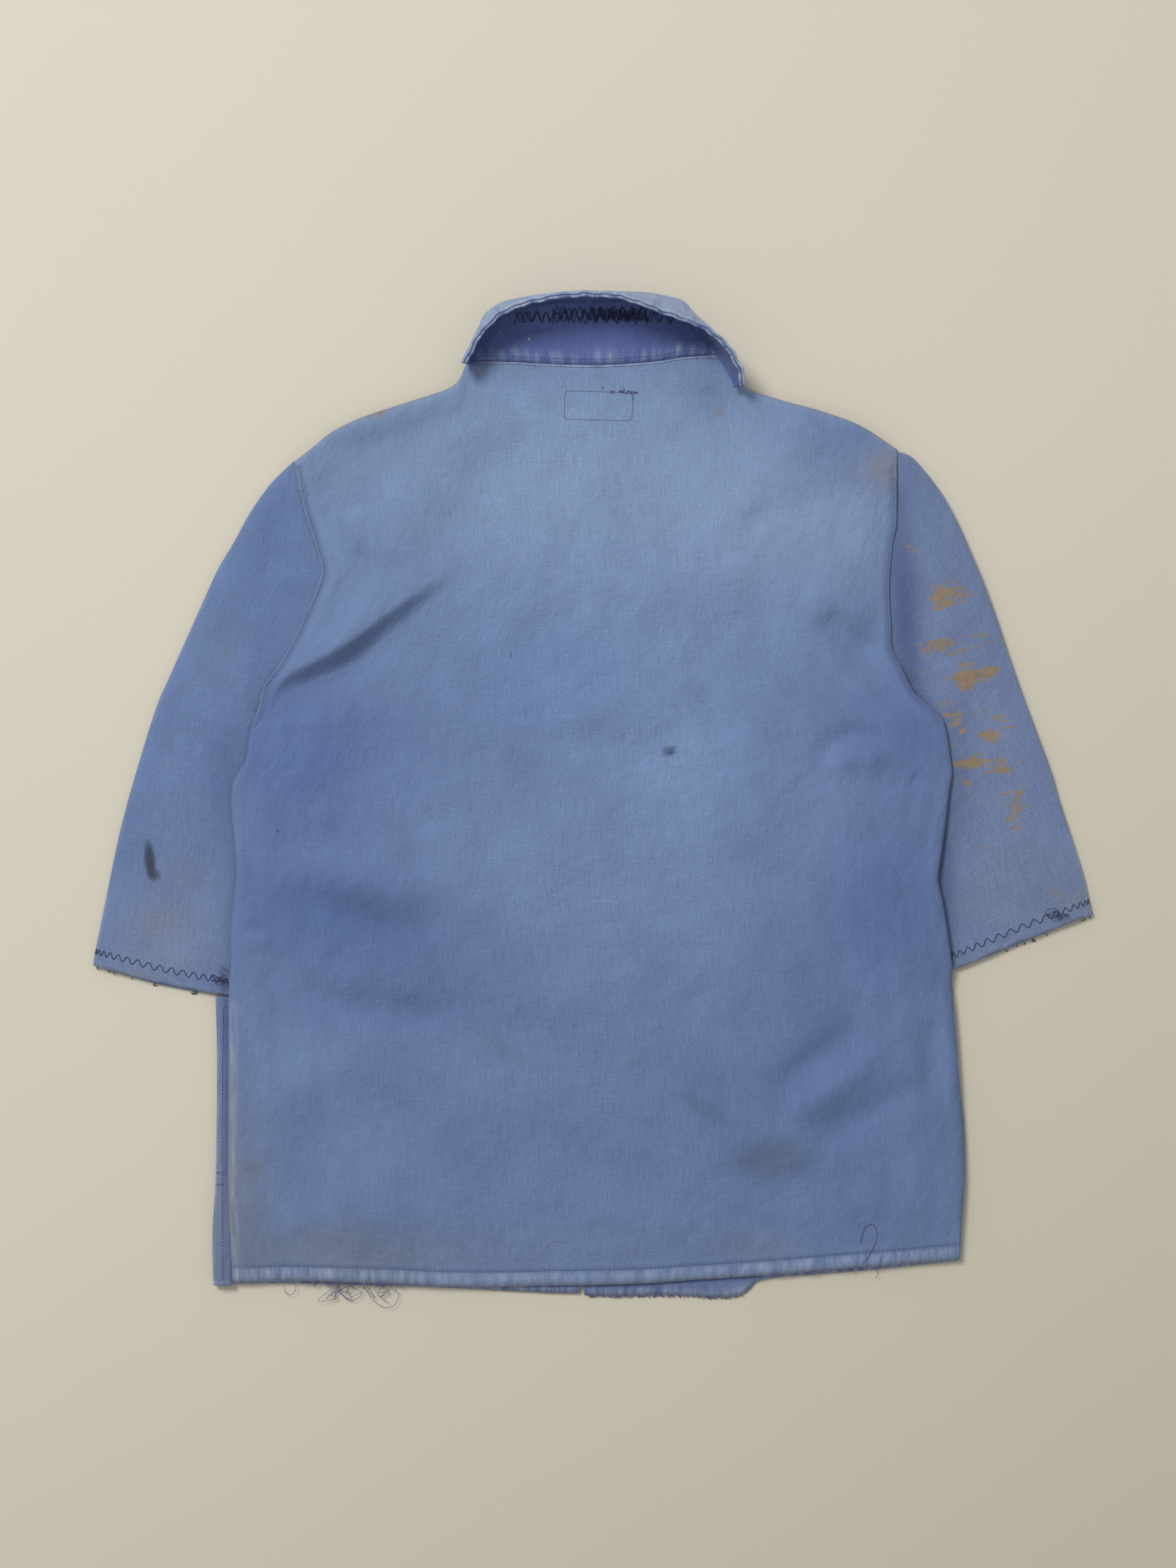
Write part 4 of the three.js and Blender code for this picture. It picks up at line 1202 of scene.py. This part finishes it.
# Darning: along the roll line the under collar wore through, and a machine has gone over it back and forth with
# dark thread, thickest in the middle.
rng = np.random.default_rng(21)
darn = []
for first, last, rows in ((-66, -34, 2), (-36, 44, 4), (0, 42, 3), (-6, 38, 1), (40, 66, 2)):
    for _ in range(rows):
        x, points, turn = first + rng.uniform(0, 4), [], rng.integers(0, 2)
        low, high = rng.uniform(383.4, 387), rng.uniform(393, 397.4)
        while x < last:
            crown = 1.6 * (1 - (x / 70) ** 2)
            points.append((x, (low if turn else high) + crown + rng.uniform(-1.0, 1.0) - 1.0))
            x += rng.uniform(2.6, 5.4)
            turn = 1 - turn
        darn.append(on_stand(points, 0.2 + rng.uniform(0, 0.45), 5 * len(points)))
darning = threads("roll_darning", darn, 0.24, ink_thread)
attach(darning, "collar_stand")
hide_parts("collar_darning")

# Collar leaf: the part of the collar that folds over when the smock is worn. Here it stands up along the roll line
# and leans in a little. It has an under face, canvas, and a faded top face, turned in and edge-stitched together.
LEAF_EDGE = [
    (-102.6, 348.3), (-96, 361), (-86.6, 374.4), (-70.3, 387.2), (-47.7, 394.1), (-21.7, 398),
    (4.3, 398.3), (22.8, 396.2), (41.5, 390.3), (60.3, 383.8), (79.1, 378.1), (94.4, 370.5), (107.8, 358.3),
    (116.4, 343.8), (118.9, 331.4),
]
LEAF_ROOT = [
    (-102.6, 351), (-101.6, 357), (-97.5, 367), (-91.2, 381.6), (-86.6, 391), (-75, 399.4), (-62.6, 402.6),
    (-49, 405), (-20, 407.4), (0, 408), (28.9, 408.4), (45, 407.6), (61.2, 404.6), (71.4, 401.6), (78, 395),
    (84, 388), (91.5, 381), (101, 368), (110, 354), (117.6, 340), (119.4, 333),
]
LEAF_TOP = [(0, 40), (0.12, 47), (0.3, 59), (0.45, 62), (0.6, 61), (0.78, 52), (0.9, 43), (1, 36)]
leaf_edge, leaf_root = smooth_line(LEAF_EDGE, 300), smooth_line(LEAF_ROOT, 300)
leaf_top = smooth_line(LEAF_TOP, 100)
# Along each ply: out from the root line, share of the lean, and share of the height.
LEAF_RUN = {
    "under": [(-4.6, 0, 0.0), (-1.8, 0, 0.012), (-0.3, 0, 0.05), (0, 0.04, 0.12), (0.6, 0.45, 0.5), (0.1, 0.9, 0.9),
              (-0.3, 0.975, 0.975), (-0.1, 1.0, 1.0), (0.55, 1.0, 0.995), (0.75, 1.0, 0.96)],
    "interlining": [(1.3, 0, 0.06), (1.3, 0.04, 0.12), (1.9, 0.45, 0.5), (1.3, 0.9, 0.94)],
    "top": [(-3.4, 0, -0.085), (0.6, 0, -0.07), (2.2, 0, -0.01), (2.8, 0.04, 0.1), (3.3, 0.45, 0.5), (2.8, 0.9, 0.9),
            (3.1, 0.975, 0.975), (2.9, 1.0, 1.0), (2.25, 1.0, 0.995), (2.05, 1.0, 0.96)],
}
ROOT_Z = 20.4


def leaf_place(layer):
    scale = np.array([1.0, 8.0, 42.0])
    run = smooth_line(np.array(LEAF_RUN[layer]) * scale, 400) / scale

    def place(u, v):
        root, edge = along(leaf_root, u), along(leaf_edge, u)
        ahead = along(leaf_root, np.clip(u + 0.01, 0, 1))
        behind = along(leaf_root, np.clip(u - 0.01, 0, 1))
        run_x, run_y = ahead[0] - behind[0], ahead[1] - behind[1]
        size = np.hypot(run_x, run_y)
        out, lean, rise = along(run, v)
        ripple = (0.35 * np.sin(u * 120) + 0.25 * np.sin(u * 71 + 2)) * ease((rise - 0.6) / 0.4)
        out = out + ripple - 2.6 + 1.3 * lean
        x = root[0] + (edge[0] - root[0]) * lean - (run_y / size) * out
        y = root[1] + (edge[1] - root[1]) * lean + (run_x / size) * out
        top = np.interp(u, leaf_top[:, 0], leaf_top[:, 1]) + 0.3 * np.sin(u * 93)
        foot = ROOT_Z + 5.0 * ease((u - 0.86) / 0.1) + 3.0 * ease((0.05 - u) / 0.05)
        return x, y, foot + (top - foot) * rise

    return place


LEAF_STITCH = 0.84
for layer, slot, colour, marks in (
    ("under", "under_collar", (78, 90, 138), [(105, 352, 26, 40, 0, 1.0, 0.4, (70, 84, 124))]),
    ("interlining", "interlining", None, []),
    ("top", "twill", (126, 142, 174), [(80, 390, 40, 30, 0, 1.0, 0.4, (136, 150, 182))]),
):
    columns, rows = (210, 90) if colour else (160, 20)
    cloth = piece(
        f"leaf_{layer}", cloth_grid(columns, rows, leaf_place(layer)), twill if colour else canvas,
        0.8 if colour else 0.6, {"under": 1.0, "interlining": 0.0, "top": -1.0}[layer])
    if colour:
        dye(cloth, colour, marks)
        rows_at = np.zeros(len(cloth.data.vertices))
        for loop, weave in zip(cloth.data.loops, cloth.data.uv_layers["weave"].data):
            rows_at[loop.vertex_index] = weave.uv[1]
        rows_at /= rows_at.max()
        plain_levels(
            cloth,
            wear=np.clip(
                0.95 * band(rows_at, 0.955, 0.02) + (0.5 if layer == "top" else 0.1) * (rows_at < 0.92), 0, 1),
            # Painted shade over the turned-in part past the leaf's edge, and along the edge stitch row.
            groove=1.8 * ease((rows_at - 0.972) / 0.01) + 0.5 * band(rows_at, LEAF_STITCH, 0.012),
            pucker=band(rows_at, LEAF_STITCH, 0.2),
        )
    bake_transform(cloth)
    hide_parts(f"collar_leaf_{layer}")

leaf_rows = []
for layer, lift in (("under", -0.25), ("top", 0.25)):
    place = leaf_place(layer)
    shares = np.linspace(0.01, 0.99, 500)
    row = np.stack(place(shares, np.full(500, LEAF_STITCH)), 1)
    inward = row - np.array([4.0, 340.0, 30.0])
    inward /= np.linalg.norm(inward, axis=1)[:, None]
    leaf_rows += strokes(row + inward * lift, 3.2, 2.2)
leaf_stitches = threads("leaf_edge_stitches", leaf_rows, 0.22, blue_thread)
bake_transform(leaf_stitches)

# Label: a small woven rectangle sewn inside the back. Only its stitches show from outside, gone over a second time
# at one corner, where loose ends were left.
label_finish, tree, shader = finish_of("woven_label", 0.8, Sheen_Weight=0.2)
cloth_at = cloth_place(tree)
satin = waves(tree, cloth_at, 420, 0.8)
wired(
    tree, shader, Base_Color=mix(tree, satin, linear(200, 196, 182), linear(226, 222, 210)),
    Normal=bumped(tree, satin, 0.0002, 0.6))
LABEL = (-24, 32, 306, 331)


def label_place(u, v):
    x, y = LABEL[0] + (LABEL[1] - LABEL[0]) * u, LABEL[2] + (LABEL[3] - LABEL[2]) * v
    return x, y, back_height(x, y) - CLOTH - 0.35


label = piece("inside_label", cloth_grid(28, 14, label_place), label_finish, 0.4)
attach(label, "back")
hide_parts("neck_label")
x0, x1, y0, y1 = LABEL
y0, y1 = y0 + 0.8, y1 - 0.8
outline = [
    (x0 + 1, y1 - 3), (x0 + 2.5, y1 - 0.4), (x0 + 6, y1), (4, y1 - 0.6), (x1 - 6, y1 - 1.4), (x1 - 1.4, y1 - 2.6),
    (x1 - 0.6, y1 - 6), (x1 - 0.6, y0 + 5), (x1 - 2, y0 + 1), (x1 - 6, y0 - 0.4), (4, y0), (x0 + 4, y0 + 0.2),
    (x0 + 1.2, y0 + 1.4), (x0 + 0.8, y0 + 5), (x0 + 1, y1 - 3),
]
label_runs = strokes(on_back(outline, 0.1, 500), 2.2, 1.7)
rng = np.random.default_rng(5)
for _ in range(26):
    x = rng.uniform(13, 33)
    y = y1 - 1.2 + rng.uniform(-1.1, 1.1)
    label_runs.append(on_back([(x, y), (x + rng.uniform(1, 4), y + rng.uniform(-0.6, 0.6))], 0.25, 5))
label_runs += [
    on_back([(24, 329), (25, 331.4), (23.6, 332.8)], 0.3, 8), on_back([(32, 329.6), (34.4, 329), (36, 328.8)], 0.3, 8),
    on_back([(31, 327), (32.6, 324.6), (31.8, 322.8)], 0.3, 8), on_back([(7, 331), (7.6, 333), (7.2, 334.6)], 0.3, 8),
]
label_stitches = threads("label_stitches", label_runs, 0.2, plum_thread)
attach(label_stitches, "back")

# Back stitching: the hem's row, and one row inside each armhole seam. The thread was blue and has faded with the
# cloth.
hem_row = on_back([(px, py + HEM_STITCH) for px, py in BACK_HEM[1:-1]] + [(297, -371 + HEM_STITCH)], 0.1, 900)
back_runs = strokes(hem_row, 3.3, 2.3)
for line, sign in ((BACK_LEFT, 1), (BACK_RIGHT, -1)):
    run = [(px + sign * 2.6, py) for px, py in line if 80 < py < 268]
    back_runs += strokes(on_back(run, 0.1, 300), 3.0, 2.1)
back_stitches = threads("back_stitches", back_runs, 0.22, blue_thread)
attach(back_stitches, "back")

# Loose threads: the hems have frayed, with loops hanging off them, the left side has a torn bar tack, and a few
# specks of lint and paint lie on the back.
rng = np.random.default_rng(33)
hem_line = smooth_line(BACK_HEM, 600)


FRAY_Z = 7.6 - 0.4


def frayed(x0, x1, count, out):
    """Short ends that stick out of the hem between two places along it."""
    ends = []
    for _ in range(count):
        x = rng.uniform(x0, x1)
        y = float(up(hem_line, x))
        lean = rng.normal(0, 2.2)
        tip = rng.uniform(0.4, 1) * out
        ends.append(smooth_line([
            (x, y + 1.5, FRAY_Z), (x + lean * 0.4, y - tip * 0.5, FRAY_Z - 0.6), (x + lean, y - tip, FRAY_Z - 1.6),
        ], 7))
    return ends


front_hem_line = smooth_line(FRONT_HEM["right"], 400)
dark_fringe = []
for _ in range(90):
    x = rng.uniform(-6, 134)
    y = float(up(front_hem_line, x))
    dark_fringe.append(smooth_line([
        (x, y + 1.2, 2.4), (x + rng.normal(0, 0.8), y - 0.6, 1.9),
        (x + rng.normal(0, 2), y - rng.uniform(0.8, 2.4), 1.2),
    ], 6))
dark_ends = frayed(-244, -155, 60, 4.5) + frayed(130, 240, 34, 3.6) + frayed(-120, 120, 16, 2.4)
pale_ends = frayed(-230, -160, 22, 5.5) + frayed(134, 230, 10, 4.4)
loops = [
    [(-251, -393), (-250.5, -398), (-247, -401), (-242.6, -399), (-241.4, -393.6)],
    [(-208, -393), (-204, -401), (-197, -405.6), (-190, -403), (-186, -395)],
    [(-186, -394), (-180, -404), (-170, -411), (-161, -409), (-158, -400), (-165, -397), (-172, -403), (-166, -408)],
    [(229, -379), (231, -384), (229, -387.6)],
]
dark_ends += [smooth_line([(px, py, 4.0) for px, py in loop], 60) for loop in loops]
dark_ends.append(on_back([(216, -358), (219, -345), (226, -342), (229, -352), (224, -366), (218, -374)], 0.35, 60))
dark_ends.append(on_back([(-66.4, 119.6), (-66.2, 116.2)], 0.3, 6))
dark_ends.append(on_back([(-256, -24.4), (-254.2, -23.2), (-253.2, -24.6)], 0.4, 8))
TACK_Z = 8.6
pale_specks = [[(24.2, 257.8), (24.5, 256.8)], [(-94, 83), (-93, 82)], [(-192, 263.8), (-191.2, 262.8)]]
for _ in range(34):
    y = rng.uniform(-153, -133)
    x = rng.uniform(-303.5, -299)
    pale_ends.append(smooth_line([
        (x, y, TACK_Z), (x + rng.uniform(1.5, 4.5), y + rng.normal(0, 1.4), TACK_Z + rng.uniform(0.2, 1.2)),
    ], 6))
for _ in range(9):
    x = rng.uniform(-212, -166)
    hanging = [(x + rng.normal(0, 6), rng.uniform(-406, -395)) for _ in range(3)]
    loop = [(x, -393.5), *hanging, (x + rng.normal(0, 9), -393.5)]
    pale_ends.append(smooth_line([(px, py, rng.uniform(2.5, 5.5)) for px, py in loop], 50))
specks = [on_back(points, 0.3, 4) for points in pale_specks]
frays = {
    "frayed_ends_dark": (dark_ends, 0.2, plum_thread), "frayed_ends_pale": (pale_ends, 0.17, plum_thread),
    "lint_specks": (specks, 0.4, pale_thread),
}
loose = {}
for name, (strands, radius, finish) in frays.items():
    loose[name] = threads(name, strands, radius, finish)
    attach(loose[name], "back")
for side in ("left", "right"):
    if side == "right":
        fringe = threads("front_hem_fringe", dark_fringe, 0.2, plum_thread)
        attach(fringe, "right_front")
